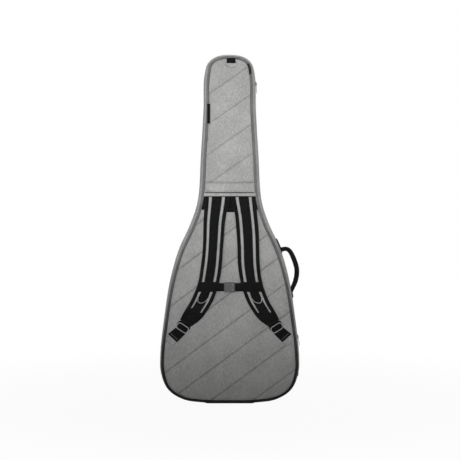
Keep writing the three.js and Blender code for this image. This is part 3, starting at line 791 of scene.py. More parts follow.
def build_panels():
    body_lines = sewn_lines(BODY_STITCH, PANEL_BOTTOM, 667)
    quilt("back_body_cloth", PANEL_WIDTH, PANEL_BOTTOM, 668, body_lines, flat_back, -1, BODY_CLOTH,
          "back_half", "back_body_panel", cap=1.1, puff=3.0)
    neck_lines = [(NECK_STITCH[0], z) for z in (756.8, 849.6, 947.0, 1040.0)]
    quilt("back_neck_cloth", PANEL_WIDTH, BAND_HIGH + 0.5, PANEL_TOP, neck_lines, flat_back, -1,
          NECK_CLOTH, "back_half", "back_neck_panel", cap=1.1)
    quilt("cross_band_cloth", PANEL_WIDTH, 667.6, BAND_HIGH - 0.4, [], flat_back, -1, PLAIN_CLOTH,
          "back_half", "cross_band", puff=2.6, spacing=5, cap=0.8)

    def seam_line(height, margin, y):
        edge = float(PANEL_WIDTH(height)) - margin
        return level_line(-edge, edge, 60, y, height)

    seams = [seam_line(BAND_HIGH - 3.2, 6, -82.3), seam_line(686.0, 8, -83.2)]
    stitches("band_stitching", seams, STRAP_SIDE, THREAD, "back_half", "grey_fabric")
    lofted("band_piping", tube(seam_line(681.0, 5, -83.5), 1.35, 8), BAND_CORD, "back_half", "piping")
    section = [(-83, 669.8), (-84, 669.6), (-84.7, 671), (-84.8, 675), (-84.5, 678.8), (-83.4, 679.8),
               (-82.6, 679.2)]
    lofted("band_fold", sweep_x(-82, 84, 60, section), LIT_FOLD_CLOTH, "back_half", "grey_fabric")

    lid_lines = sewn_lines(BODY_STITCH, PANEL_BOTTOM, PANEL_TOP, -1.0)
    quilt("lid_cloth", PANEL_WIDTH, PANEL_BOTTOM, PANEL_TOP, lid_lines, lambda z: lid_face(z) - 0.6,
          1, LID_CLOTH, "lid", "front_panel", cap=1.2)


def build_piping():
    ripple = PIPING_RADIUS + 0.12 * np.sin(np.arange(RING_COUNT) / RING_COUNT * 2 * math.pi * 260)
    ring = inset_ring(PIPING_INSET)
    for name, body, y, node in (
            ("back_piping_cord", "back_half", PIPING_Y, "back_piping"),
            ("lid_piping_cord", "lid", lid_face(HEIGHTS) + 1.8, "front_piping")):
        rows = tube(in_plane(ring, y), ripple, 12, closed=True)
        lofted(name, rows, PIPING, body, "piping", [node], 80, closed=True)

    # sleeve over the cord's join, right of the hang loop
    chosen = (OUTLINE[:, 0] > 0) & (HEIGHTS > 1056) & (HEIGHTS < 1100)
    sleeve = resample(in_plane(ring[chosen], PIPING_Y), 30)
    ends = np.minimum(1, np.minimum(np.arange(30), np.arange(30)[::-1]) / 2 + 0.86)
    lofted("piping_join_sleeve", tube(sleeve, 4.6 * ends, 12), SLEEVE, "back_half", "piping")


def build_gussets():
    share = PIPING_INSET / 12.4
    face = lid_face(HEIGHTS)
    depth = face + 5.7
    back = [(13.3 * share, -78.2), (10.0 * share, -79.6), (6.5 * share, -79.5),
            (3.4 * share, -77.6), (1.2 * share, -74.0), (0.1, -69.5),
            (-1.0, -60), (-1.4, -50), (-1.0, -38), (0, -30), (0.7, -26.4), (1.6, -24.8),
            (3.2, -25.4), (2.4, -31), (1.2, -50), (2.4, -68), (3.0 + 1.6 * share, -73.8),
            (3.6 + 3.9 * share, -76.2), (1.0 + 12.5 * share, -76)]
    front = [(13.3 * share, face - 1.8), (10.0 * share, face - 0.4), (6.5 * share, face - 0.5),
             (3.4 * share, face - 2.4), (1.2 * share, face - 6.0), (0.1, face - 10.5),
             (-1.0, face - 0.3 * depth), (-1.4, face - 0.5 * depth), (-1.0, face - 0.7 * depth),
             (0, -1.5), (0.7, -3.6), (1.6, -5.2), (3.2, -4.6), (2.4, -1.0),
             (1.2, face - 0.5 * depth), (2.4, face - 12), (3.0 + 1.6 * share, face - 6.2),
             (3.6 + 3.9 * share, face - 3.8), (1.0 + 12.5 * share, face - 4.0)]
    ring_sweep("back_gusset_cloth", back, SHADED_SIDE_CLOTH, "back_half", "grey_fabric", ["back_gusset"])
    ring_sweep("lid_gusset_cloth", front, SHADED_SIDE_CLOTH, "lid", "grey_fabric", ["lid_gusset"])
    for name, body, y in (("back_gusset_stitching", "back_half", -30.2),
                          ("lid_gusset_stitching", "lid", 0.2)):
        path = in_plane(inset_ring(-0.2), y)
        count = int(line_length(np.vstack([path, path[:1]])) / 5.4)
        fine = resample(path, count * 3, closed=True)
        parts = Parts()
        for a, b in zip(fine[::3], fine[2::3]):
            ends = a + (b - a) * np.array([0.0, 0.2, 0.8, 1.0])[:, None]
            parts.loft(tube(ends, 0.5 * THREAD_TAPER, 5))
        parts.make(name, THREAD, body, "grey_fabric", sharp=80)


def build_foam():
    ring = resample(inset_ring(3.0), 260, closed=True)
    for part, body, near, far in (
            ("back", "back_half", lambda z: -75.6, lambda z: -61.2),
            ("front", "lid", lambda z: lid_face(z) - 19.0, lambda z: lid_face(z) - 4.6)):
        rows = []
        for amount, level in ((1.5, near), (0, near), (0, far), (1.5, far)):
            line = shrink(ring, amount)
            rows.append(in_plane(line, level(line[:, 1])))
        sheet = lofted(f"{part}_foam_sheet", rows, FOAM, body, "foam", [f"{part}_foam"])
    for name, body, near, far, node in (
            ("back_foam_wall", "back_half", -60.8, -16.8, "back_gusset_foam"),
            ("front_foam_wall", "lid", -13.2, lid_face(HEIGHTS) - 19.6, "lid_gusset_foam")):
        section = [(2.8, near), (17.0, near), (17.0, far), (2.8, far)]
        ring_sweep(name, section, FOAM, body, "foam", [node])


def build_lining():
    """Plush trays. The wall stands on the floor and has a small dip along its rim."""
    count = 420
    outline = resample(OUTLINE, count, closed=True)
    normal = inward(outline)
    profile = [(34.0, 0.0), (25.0, 0.0), (20.5, 0.04), (18.9, 0.12), (18.9, 1.0), (18.3, 0.96),
               (17.7, 1.0), (17.7, 0.0)]
    middle = 500
    for name, body, node, rim, floor, side in (
            ("back_lining_tray", "back_half", "back_lining", -16.0,
             lambda z: np.full_like(z, -59.3), 1),
            ("lid_lining_tray", "lid", "front_lining", -14.0, lambda z: lid_face(z) - 20.8, -1)):
        wall = []
        for inset, share in profile:
            flat = outline + normal * inset
            low = floor(flat[:, 1])
            wall.append(in_plane(flat, low + (rim - low) * share))
        wall[-1][:, 1] -= side * 1.2
        inner = []
        for share in (0.12, 0.3, 0.5, 0.7, 0.86):
            x, z = wall[0][:, 0] * share, middle + (wall[0][:, 2] - middle) * share
            inner.append(np.column_stack([x, floor(z) - side * 0.4 * math.sin(share * 3), z]))
        under = [row - (0, side * 1.3, 0) for row in inner[::-1]]
        rows = np.array(inner + wall + under)
        faces = grid_faces(len(rows), count)
        faces.append(tuple(range(count)))
        faces.append(tuple((len(rows) - 1) * count + i for i in range(count))[::-1])
        make(name, rows.reshape(-1, 3), faces, LINING, body, [node], sharp=60)


def build_zip():
    free = (OUTLINE[:, 0] > 0) | (HEIGHTS < HINGE_LOW) | (HEIGHTS > HINGE_HIGH)
    around = (np.arange(RING_COUNT) + int(np.argmax(~free))) % RING_COUNT
    order = around[free[around]]
    tape = [(2.6, -28.5), (1.7, -26.8), (0.9, -23), (0.7, -19), (1.2, -16.4), (2.0, -16.4),
            (1.9, -22), (2.9, -28)]
    mirrored = [(inset, 2 * SEAM_Y - y) for inset, y in tape]
    for name, body, node, section in (("back_zip_tape", "back_half", "zip_tape_back", tape),
                                      ("lid_zip_tape", "lid", "zip_tape_front", mirrored)):
        lofted(name, ring_rows(section)[order], ZIP_TAPE, body, "zip_tape", [node])

    # teeth of the two sides alternate along the seam
    track = OUTLINE[order]
    count = int(line_length(track) / 3.3)
    both = resample(np.column_stack([track, NORMALS[order]]), 2 * count)
    outline = ((-1, -0.7), (-0.6, -1), (0.6, -1), (1, -0.7), (1, 0.6), (-1, 0.6))
    profile = ((-1, 0.55), (-0.4, 0.62), (0.35, 0.62), (0.7, 1.05), (1, 0.7))
    for name, body, node, offset, head, middle in (
            ("back_zip_teeth", "back_half", "zip_teeth_back", 0, 2.25, -16.15),
            ("lid_zip_teeth", "lid", "zip_teeth_front", 1, -2.25, -13.85)):
        parts = Parts()
        for px, pz, nx, nz in both[offset::2]:
            rows = []
            for at, wide in profile:
                row = []
                for u, w in outline:
                    depth = 0.3 + w * 1.15
                    row.append((px + nz * u * wide + nx * depth, middle + head * at,
                                pz - nx * u * wide + nz * depth))
                rows.append(row)
            parts.loft(rows)
        parts.make(name, TEETH, body, "zip_teeth", [node])

    # the hinge strip bridges the two halves where there is no zip
    section = [(1.2, -26), (0.2, -22), (-0.4, -15), (0.2, -8), (1.2, -4), (2.6, -4), (2.0, -15),
               (2.6, -26)]
    hinge = lofted("hinge_cloth", ring_rows(section)[around[~free[around]]], BLACK_TAPE, None,
                   "zip_tape", ["lid_hinge_strip"])
    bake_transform(hinge)


# ------------------------------------------------------------------ shoulder straps

def strap_table(at, values, window):
    return smooth_table(at, values, 220, 690, 2, window)


STRAP_H, STRAP_OUTER = strap_table(STRAP_STATIONS[:, 0], STRAP_STATIONS[:, 1], 26)
STRAP_INNER = strap_table(STRAP_STATIONS[:, 0], STRAP_STATIONS[:, 2], 26)[1]
STRAP_SHIFT = {side: [strap_table(LEAN_HEIGHTS, shifts, 34)[1] for shifts in pair]
               for side, pair in STRAP_LEAN.items()}


def strap_point(side, share, height, lift):
    """Point on a strap. The share runs from its outer edge, 0, to its inner edge, 1."""
    outer = np.interp(height, STRAP_H, STRAP_OUTER + STRAP_SHIFT[side][0])
    inner = np.interp(height, STRAP_H, STRAP_INNER + STRAP_SHIFT[side][1])
    fall = np.clip((STRAP_TOP - height) / (STRAP_TOP - STRAP_LOW), 0, 1)
    bow = PAD_BOW * np.sin(math.pi * fall)
    slant = PAD_SLANT * (1 - share) * np.clip((280 - height) / (280 - STRAP_LOW), 0, 1)
    x = side * (outer + (inner - outer) * share)
    return np.stack(np.broadcast_arrays(x, PAD_BASE_Y - bow - lift, height + slant), axis=-1)


def strap_width(height):
    return float(np.interp(height, STRAP_H, STRAP_OUTER) - np.interp(height, STRAP_H, STRAP_INNER))


def strap_section(side, height, pairs):
    """Section across a strap, from (share, lift) pairs."""
    shares, lifts = np.array(pairs, float).T
    return strap_point(side, shares, np.full(len(pairs), float(height)), lifts)


def strap_lines(side, shares, low, count, lift):
    """Sewing lines down a strap, one for each share."""
    heights = np.linspace(STRAP_TOP - 4, low, count)
    return [np.array([strap_point(side, share, h, lift) for h in heights]) for share in shares]


def quarter_round(share):
    """Rises from 0 to 1 like a quarter of a circle."""
    return math.sqrt(max(0.0, 1 - (1 - share) ** 2))


def strap_ribbon(side, share_a, share_b, low, thickness, round_end=False, step=5.0, thin=1.0):
    """Rows of a strip on the pad's face. thin is its width at the low end."""
    lift = 14.1
    rows = []
    for h in np.linspace(STRAP_TOP, low, max(3, int((STRAP_TOP - low) / step))):
        narrower = 1 - (1 - thin) * np.clip((375 - h) / (375 - low), 0, 1)
        middle = (share_a + share_b) / 2
        half = (share_b - share_a) / 2 * narrower
        width = strap_width(h) * (share_b - share_a) / 2
        if round_end and h - low < width:
            half *= max(0.08, quarter_round((h - low) / width))
        a, b = middle - half, middle + half
        edge = min(0.012, (b - a) * 0.1)
        pairs = [(a, lift), (a, lift + thickness * 0.6), (a + edge, lift + thickness)]
        pairs += [(a + (b - a) * k / 6, lift + thickness + 0.15) for k in range(1, 6)]
        pairs += [(b - edge, lift + thickness), (b, lift + thickness * 0.6), (b, lift)]
        rows.append(strap_section(side, h, pairs))
    return rows


def pad_thickness(height):
    """Share of the pad's full thickness below its sewn top."""
    return 0.5 + 0.5 * np.clip((STRAP_TOP - height) / 26, 0, 1) ** 0.7


def build_pad(name, side):
    heights = np.linspace(STRAP_TOP, STRAP_LOW, 76)
    tops = [0.06, 0.12, 0.195, 0.27, 0.34, 0.42, 0.5, 0.58, 0.66, 0.73, 0.805, 0.88, 0.94]
    pairs = [(-0.004, 7), (0.0, 10), (0.02, 12.4)]
    pairs += [(s, 13.4 + 0.6 * math.sin(math.pi * s)) for s in tops]
    pairs += [(0.98, 12.4), (1.0, 10), (1.004, 7), (1.0, 3.6), (0.98, 1.2)]
    pairs += [(s, 0.0) for s in np.linspace(0.93, 0.07, 11)] + [(0.02, 1.2), (0.0, 3.6)]
    rows = []
    for h in heights:
        round_off = quarter_round(np.clip((h - STRAP_LOW) / 11, 0, 1))
        thick = pad_thickness(h) * (0.35 + 0.65 * round_off)
        narrow = 0.90 + 0.10 * quarter_round(np.clip((h - STRAP_LOW) / 20, 0, 1))
        here = [(0.5 + (s - 0.5) * narrow, lift * thick + (1 - thick) * 4 * (h < 300))
                for s, lift in pairs]
        rows.append(strap_section(side, h, here))
    body = f"strap_{name}"
    pad = lofted(f"shoulder_pad_cloth_{name}", rows, MESH, body, "black_padding",
                 [f"shoulder_pad_{name}"], 80)
    pinned = []
    for r, h in enumerate(heights):
        for c, (share, lift) in enumerate(pairs):
            sewn = 0.1 < share < 0.9 and h > 300
            if lift < 3 or sewn or r < 2 or r > len(heights) - 2:
                pinned.append(r * len(pairs) + c)
    inflate_later(pad, pinned, 45.0, 2.2)

    # tape folded round the two long edges, in millimetres from the edge
    tape = [(7.5, 14.5), (4.0, 14.7), (0.8, 13.6), (-1.6, 10.5), (-2.2, 7), (-1.6, 3.4),
            (0.8, 0.6), (4.0, -0.3), (7.5, -0.2), (7.5, 0.7), (1.6, 2.2), (0.0, 7),
            (1.6, 12.0), (7.5, 13.4)]
    edging = Parts()
    for share, sign in ((0.0, 1), (1.0, -1)):
        edging.loft([
            strap_section(side, h, [(share + sign * u / strap_width(h), v * pad_thickness(h))
                                    for u, v in tape])
            for h in np.linspace(STRAP_TOP - 1, STRAP_LOW + 12, 72)])
    edging.make(f"pad_binding_{name}", BLACK_TAPE, body, "black_padding")


def build_strap_trim(name, side):
    body = f"strap_{name}"
    end = 331
    lofted(f"strap_webbing_cloth_{name}", strap_ribbon(side, 0.285, 0.715, end, 2.0, True, 3.0),
           WEBBING, body, "black_webbing", [f"strap_webbing_{name}"])
    for place, a, b, low in (("outer", 0.145, 0.275, 307 - 7 * side), ("inner", 0.725, 0.86, 299)):
        lofted(f"strap_ribbon_{place}_{name}", strap_ribbon(side, a, b, low, 0.9, thin=0.46),
               RIBBON, body, "trim", [f"strap_trim_{place}_{name}"])

    # light cord round the webbing's rounded end
    width = strap_width(345) * 0.43 / 2
    arc = [strap_point(side, 0.5 - 0.215 * 1.04 * math.cos(angle),
                       end + width - width * 1.04 * math.sin(angle), 15.2)
           for angle in math.pi * np.arange(15) / 14]
    lofted(f"webbing_end_cord_{name}", tube(arc, 1.15, 7), RIBBON, body, "trim")

    lines = strap_lines(side, (0.31, 0.69), 352, 110, 16.35)
    for h in (STRAP_TOP - 8, STRAP_TOP - 30, 420, 352):
        lines.append(strap_point(side, np.linspace(0.32, 0.68, 12), h, 16.4))
    lines += strap_lines(side, (0.155, 0.265, 0.735, 0.85), 378, 90, 15.15)
    stitches(f"strap_stitching_{name}", lines, STRAP_SIDE, BLACK_THREAD, body, "black_webbing",
             3.0, 1.8, 0.4)


def build_keeper(name, side):
    """Webbing loop round the pad that carries the chest strap."""
    middle = 7
    outer = [(-0.045, 7), (-0.03, 13), (0.03, 16.6), (0.15, 17.2), (0.28, 17.6), (0.5, 17.7),
             (0.72, 17.6), (0.85, 17.2), (0.97, 16.6), (1.03, 13), (1.045, 7), (1.03, 1),
             (0.97, -1.6), (0.5, -1.8), (0.03, -1.6), (-0.03, 1)]
    inner = [(0.5 + (s - 0.5) * 0.97, middle + (v - middle) * 0.86) for s, v in outer]
    proud = [(s, middle + (v - middle) * 1.018) for s, v in outer]
    heights = (398.6, 398.0, 397.0, 390, 382, 374, 368.0, 367.0, 366.4)
    rows = [strap_section(side, h, proud if 366.6 < h < 398.5 else outer) for h in heights]
    rows += [strap_section(side, h, inner) for h in heights[::-1]]
    lofted(f"chest_strap_keeper_{name}", rows, WEBBING_ACROSS, f"strap_{name}", "black_webbing",
           closed=True)


def build_straps():
    for name, side in SIDES:
        build_pad(name, side)
        build_strap_trim(name, side)
        build_keeper(name, side)


def lock_frame(side):
    """Axes of the ladder lock: along its bars, up the strap, and outwards."""
    cos, sin = math.cos(LOCK_TILT), math.sin(LOCK_TILT)
    return np.array([side * cos, 0, sin]), np.array([-side * sin, 0, cos]), np.array([0, -1.0, 0])


def flat_webbing(stations, half):
    """Rows of a 2 mm webbing through (middle, across) stations, with a half width for each."""
    out = np.array(STRAP_SIDE, float)
    section = [(-1, -0.9), (-1.01, 0), (-1, 0.7), (-0.94, 1.0), (-0.5, 1.1), (0, 1.1), (0.5, 1.1),
               (0.94, 1.0), (1, 0.7), (1.01, 0), (1, -0.9), (0, -1.0)]
    return [[middle + across * u * wide + out * w for u, w in section]
            for (middle, across), wide in zip(stations, half)]


def build_lock(name, side):
    """Ladder lock and the webbing behind its upper bar. Returns the lock's middle."""
    along, up, out = lock_frame(side)
    centre = np.array([side * LOCK_CENTRE[0], LOCK_Y, LOCK_CENTRE[1]])
    parts = Parts()
    loop = rounded(41, 20.4, 9.4, 8)
    path = resample(centre + loop[:, :1] * along + loop[:, 1:] * up, 96, closed=True)
    parts.loft(tube(path, 1.55, 10, closed=True, squash=1.15), closed=True)
    bar = centre + np.linspace(-19, 19, 24)[:, None] * along - up * 0.4
    parts.loft(tube(bar, 1.5, 8))
    for sign in (-1, 1):
        ear = centre + along * sign * 20.5 + np.linspace(-3, 3, 8)[:, None] * up + out * 1.2
        parts.loft(tube(ear, 1.2 * np.array([0.5, 0.9, 1, 1, 1, 1, 0.9, 0.5]), 8))
    parts.make(f"ladder_lock_frame_{name}", LOCK_HIGHLIGHT_GREY, f"lock_{name}", "ladder_lock",
               [f"ladder_lock_{name}"])

    pad_end = strap_point(side, 0.5, 264, 6)
    behind = centre + up * 10.2 - out * 3.6
    stations = [(pad_end + (behind - pad_end) * share ** 1.2, along)
                for share in np.linspace(0, 1, 8)]
    stations += [(centre + up * s - out * w, along) for s, w in ((7.5, 3.5), (5.0, 2.9))]
    widths = np.linspace(19.6, 18.0, len(stations))
    lofted(f"lock_webbing_{name}", flat_webbing(stations, widths), WEBBING_ACROSS,
           f"strap_{name}", "black_webbing")
    # black tab behind the lock: partly the real tab the lock is sewn to, cut wider than the frame so
    # that its rim is a painted shadow round the frame
    place = placed(centre, along, up, out)
    shadow_tab = plate_rows(rounded(45, 27, 9, 6, (0, 3)), -5.4, -4.5, 0.3, place)
    lofted(f"lock_shadow_tab_{name}", shadow_tab, BLACK_TAPE, f"strap_{name}", "black_padding")
    return centre


def build_lower_webbing(name, side, centre):
    """Webbing from the corner patch, behind the lock's lower bar and over its middle one."""
    along, up, out = lock_frame(side)
    tilt = math.radians(43)
    low_along = np.array([side * math.cos(tilt), 0, math.sin(tilt)])
    start = np.array([side * 183.5, -83.4, 214.5])
    end = centre - up * 10.2 - out * 3.1
    stations = []
    for share in np.linspace(0, 1, 14):
        across = low_along * (1 - share) + along * share
        middle = start + (end - start) * share
        middle[1] -= 2.0 * math.sin(math.pi * share)
        stations.append((middle, across / np.linalg.norm(across)))
    over = [(-7.6, -2.0), (-5.0, 0.6), (-2.6, 2.2), (-0.4, 2.7), (1.8, 2.2), (4.2, 0.4),
            (6.6, -0.9), (8.4, -1.2)]
    stations += [(centre + up * s + out * w, along) for s, w in over]
    widths = np.interp(np.arange(len(stations)), [0, 12, 16], [19.4, 18.4, 17.4])
    piece = lofted(f"lower_webbing_cloth_{name}", flat_webbing(stations, widths), WEBBING_ACROSS,
                   None, "black_webbing", [f"lower_webbing_{name}"])
    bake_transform(piece)

    # corner patch with its seam lines
    patch_up = np.array([-side * math.sin(tilt), 0, math.cos(tilt)])
    patch_centre = np.array([side * 186.5, -83.2, 209.0])
    place = placed(patch_centre, low_along, patch_up, out)
    lofted(f"corner_patch_{name}", plate_rows(rounded(38, 30, 4, 5), -0.9, 0.7, 0.5, place),
           PLAIN_CLOTH, "back_half", "grey_fabric", [f"corner_tab_{name}"])
    seam = rounded(33, 25, 3, 4)
    closed = np.vstack([seam, seam[:1]])
    path = patch_centre + closed[:, :1] * low_along + closed[:, 1:] * patch_up + out * 0.95
    stitches(f"corner_stitching_{name}", [path], STRAP_SIDE, BLACK_THREAD, "back_half",
             "grey_fabric")
    box = [start + low_along * u + out * (1.35 + 0.22 * v) + patch_up * v
           for u, v in ((-15, 1), (15, 1), (15, 7.5), (-15, 7.5))]
    lines = [np.array([box[i], box[j]]) for i, j in ((0, 1), (0, 2), (1, 3), (0, 3), (1, 2))]
    stitches(f"webbing_box_stitch_{name}", lines, STRAP_SIDE, BLACK_THREAD, "back_half",
             "black_webbing", 2.6, 1.4, 0.4)
    tack = np.array([box[3], box[2]])
    stitches(f"webbing_bar_tack_{name}", [tack, tack + patch_up * 1.1 + out * 0.24], STRAP_SIDE,
             THREAD, "back_half", "black_webbing", 2.6, 0.5, 0.8)


def build_locks():
    for name, side in SIDES:
        build_lower_webbing(name, side, build_lock(name, side))


def build_sternum():
    middle = 382
    section = [(-126.1, 369.0), (-127.5, 368.7), (-127.9, 369.8), (-128.0, 376), (-128.05, middle),
               (-128.0, 388), (-127.9, 394.2), (-127.5, 395.3), (-126.1, 395.0)]
    for (name, side), low, high in zip(SIDES, (-101, 8.5), (-6.5, 104)):
        body = f"strap_{name}"
        lofted(f"chest_webbing_{name}", sweep_x(low, high, 28, section), WEBBING_ACROSS, body,
               "black_webbing", [f"sternum_webbing_{name}"])
        # the turned-back end of the webbing at the buckle
        near = high - 10 if side < 0 else low + 10
        hem = plate_rows(rounded(20, 25.4, 1, 3, (near, middle)), 128.0, 129.4, 0.4)
        lofted(f"chest_hem_{name}", hem, WEBBING_ACROSS, body, "black_webbing")
        lines = [upright_line(middle - 11, middle + 11, 8, near + dx, -129.5) for dx in (-7, -2)]
        stitches(f"chest_stitching_{name}", lines, STRAP_SIDE, BLACK_THREAD, body,
                 "black_webbing", 2.4, 1.2, 0.35)
    for node in ("buckle_female", "buckle_male", "buckle_prong_upper", "buckle_prong_lower"):
        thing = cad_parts[node]
        bevel = thing.modifiers.new("edges", "BEVEL")
        bevel.width = 0.0009 if "prong" not in node else 0.0005
        bevel.segments = 3
        bevel.limit_method = "ANGLE"
        bevel.angle_limit = math.radians(35)
        bevel.use_clamp_overlap = True
        bevel.harden_normals = False
        thing.data.materials.clear()
        thing.data.materials.append(BUCKLE)
    ribs = Parts()
    for x in (-13.5, -11.0, -8.5):
        radius = 0.6 * np.array([0.3, 1, 1, 1, 1, 1, 1, 1, 0.3])
        ribs.loft(tube(upright_line(middle - 11, middle + 11, 9, x, -137.35), radius, 8))
    ribs.make("buckle_grip_ribs", BUCKLE, "strap_left", "buckle")


def build_anchor():
    """Black patch over the strap tops: two ears out to the piping and a longer piece between."""
    def edge(z):
        return float(PANEL_WIDTH(z)) - 2.6

    right = [(0, 618.5), (20.5, 618.5), (24, 620), (26, 626), (60, 627), (80, 625.5),
             (edge(626) - 1, 626.5)]
    right += [(edge(z), z) for z in (634, 643, 653, 663)]
    right += [(edge(669.5), 669.5), (40, 670), (0, 670)]
    left = [(-x, z) for x, z in right[-2:0:-1]]
    outline = resample(np.array(right + left, float), 220, closed=True)
    lofted("strap_anchor_cloth", plate_rows(outline, 83.2, 85.0, 0.6), WEBBING_ACROSS,
           "back_half", "black_webbing", ["strap_anchor_panel"])

    # sewn round all but the top, where the pads rub when they lift
    top, y = 658, -85.2
    inner = shrink(outline, 3.4)
    following = np.roll(inner[:, 1], -1)
    first = int(np.argmax((inner[:, 1] > top) & (following <= top))) + 1
    inner = np.roll(inner, -first, axis=0)
    path = in_plane(inner[inner[:, 1] <= top], y)
    stitches("strap_anchor_stitching", [path, level_line(-20, 20, 12, y, 630.0)], STRAP_SIDE,
             BLACK_THREAD, "back_half", "black_webbing", 3.0, 1.6, 0.45)
    hem = plate_rows(rounded(43, 10.5, 1.5, 3, (0, 624.4)), 85.0, 85.9, 0.3)
    lofted("strap_anchor_hem", hem, BLACK_TAPE, "back_half", "black_webbing")


def build_top():
    section = [(-81.5, 1109.5), (-83.2, 1110.2), (-86.6, 1108.5), (-88.0, 1104), (-88.2, 1099),
               (-87.4, 1094.8), (-85.2, 1093.0), (-82.8, 1092.8), (-81.4, 1094), (-82.0, 1098)]
    lofted("hang_loop", sweep_x(-9.5, 18.5, 14, section), WEBBING_ACROSS, "back_half",
           "black_webbing", ["hang_tab"])
    lines = [level_line(-7, 16, 9, y, z) for y, z in ((-88.2, 1101.0), (-87.6, 1106.0))]
    stitches("hang_loop_stitching", lines, STRAP_SIDE, BLACK_THREAD, "back_half",
             "black_webbing", 2.6, 1.4, 0.45)

    # D ring, from its straight bar clockwise
    wire, corner = 1.5, 3
    half, drop = 18.5 - wire, 17.0 - wire
    points = [(-half + corner, 0), (half - corner, 0)]
    for middle, first in ((half - corner, 90), (None, 0), (-half + corner, 180)):
        if middle is None:
            for angle in math.pi * np.arange(1, 24) / 24:
                points.append((half * math.cos(angle), -4 - (drop - 4) * math.sin(angle)))
            continue
        for angle in math.radians(first) - math.pi / 2 * np.arange(6) / 5:
            points.append((middle + corner * math.cos(angle), -corner + corner * math.sin(angle)))
    loop = resample(points, 110, closed=True)
    path = in_plane(loop + (4.0, 1095.0), -84.8)
    lofted("hang_ring_wire", tube(path, wire, 12, closed=True), METAL, "hang_ring", "metal",
           ["d_ring"], 80, closed=True)

    x = -67
    label = plate_rows(rounded(10.4, 63, 1.0, 3, (x, 932.5)), 86.4, 87.5, 0.25)
    lofted("side_label_cloth", label, BLACK_TAPE, "back_half", "black_webbing", ["side_label"])
    lines = [upright_line(903, 962, 24, x + dx, -87.6) for dx in (-4, 4)]
    stitches("side_label_stitching", lines, STRAP_SIDE, THREAD, "back_half", "black_webbing",
             2.0, 1.4, 0.3)


# ------------------------------------------------------------------ carry handle

HANDLE_PATH = [(166, 497.5), (176, 499.5), (186, 498.5), (196, 489), (205.5, 470), (212, 452),
               (216, 434), (215.5, 414), (211, 394), (203.5, 377), (197.5, 364)]


def open_curve(keys, per_span):
    """Open uniform Catmull-Rom curve through the keys."""
    keys = np.array(keys, float)
    keys = np.vstack([2 * keys[0] - keys[1], keys, 2 * keys[-1] - keys[-2]])
    out = []
    for i in range(1, len(keys) - 2):
        p0, p1, p2, p3 = keys[i - 1:i + 3]
        for t in np.arange(per_span) / per_span:
            out.append(0.5 * (2 * p1 + (p2 - p0) * t + (2 * p0 - 5 * p1 + 4 * p2 - p3) * t**2
                              + (3 * p1 - p0 - 3 * p2 + p3) * t**3))
    out.append(keys[-2])
    return np.array(out)


def build_handle():
    count, around = 64, 20
    path = in_plane(resample(open_curve(HANDLE_PATH, 12), count), -55.0)
    sides, ups = frames_along(path)
    share = np.linspace(0, 1, count)
    swell = np.sin(np.clip((share - 0.12) / 0.80, 0, 1) * math.pi) ** 0.6
    thick = 7.0 + 0.2 * swell + 0.4 * np.clip(share * 2.0 - 0.3, 0, 1) * swell
    wide = 9.0 + 1.2 * swell
    rows = []
    for k in range(count):
        row = []
        for a in np.arange(around) / around * 2 * math.pi:
            c, s = math.cos(a), math.sin(a)
            u = wide[k] * math.copysign(abs(c) ** 0.55, c)
            v = thick[k] * math.copysign(abs(s) ** 0.7, s)
            row.append(path[k] + sides[k] * u + ups[k] * v)
        rows.append(row)
    piece = lofted("carry_handle_grip", rows, BLACK_TAPE, "handle", "black_webbing",
                   ["carry_handle"], 80)
    pinned = list(range(around * 6)) + list(range(around * (count - 6), around * count))
    inflate_later(piece, pinned, 30.0, 0.8)
    seam = [np.array([path[k] - sides[k] * (wide[k] + 0.15) + ups[k] * v * 0.8
                      for k in range(10, 55)]) for v in (-1, 1)]
    stitches("carry_handle_stitching", seam, STRAP_SIDE, BLACK_THREAD, "handle",
             "black_webbing", 2.8, 1.6, 0.4)

    for name, low, high in (("upper", 484.0, 533.0), ("lower", 341.0, 380.0)):
        chosen = (OUTLINE[:, 0] > 0) & (HEIGHTS > low) & (HEIGHTS < high)
        rows = []
        for p, n in zip(OUTLINE[chosen], NORMALS[chosen]):
            proud = 3.4 if len(rows) in (0, chosen.sum() - 1) else 4.6
            section = ((-1.2, -67), (-proud + 0.6, -67.2), (-proud, -66.2), (-proud - 0.2, -60),
                       (-proud - 0.2, -50), (-proud, -43.8), (-proud + 0.6, -42.8), (-1.2, -43))
            rows.append([(p[0] + n[0] * inset, y, p[1] + n[1] * inset) for inset, y in section])
        lofted(f"handle_anchor_cloth_{name}", rows, WEBBING, "back_half", "black_webbing",
               [f"handle_anchor_{name}"])


# ------------------------------------------------------------------ pocket, sliders, inside

def rounded_bar(low, high, radius=2.0, segments=3):
    """Points and faces of a box with rounded edges."""
    low, high = np.array(low, float), np.array(high, float)
    work = bmesh.new()
    bmesh.ops.create_cube(work, size=1.0)
    for vertex in work.verts:
        vertex.co = Vector((low + high) / 2 + np.array(vertex.co) * (high - low))
    bmesh.ops.bevel(work, geom=work.edges[:], offset=radius, segments=segments, profile=0.6,
                    affect="EDGES", clamp_overlap=True)
    points = [tuple(v.co) for v in work.verts]
    work.verts.index_update()
    faces = [tuple(v.index for v in f.verts) for f in work.faces]
    work.free()
    return points, faces


POCKET_ZIP_Z = 368


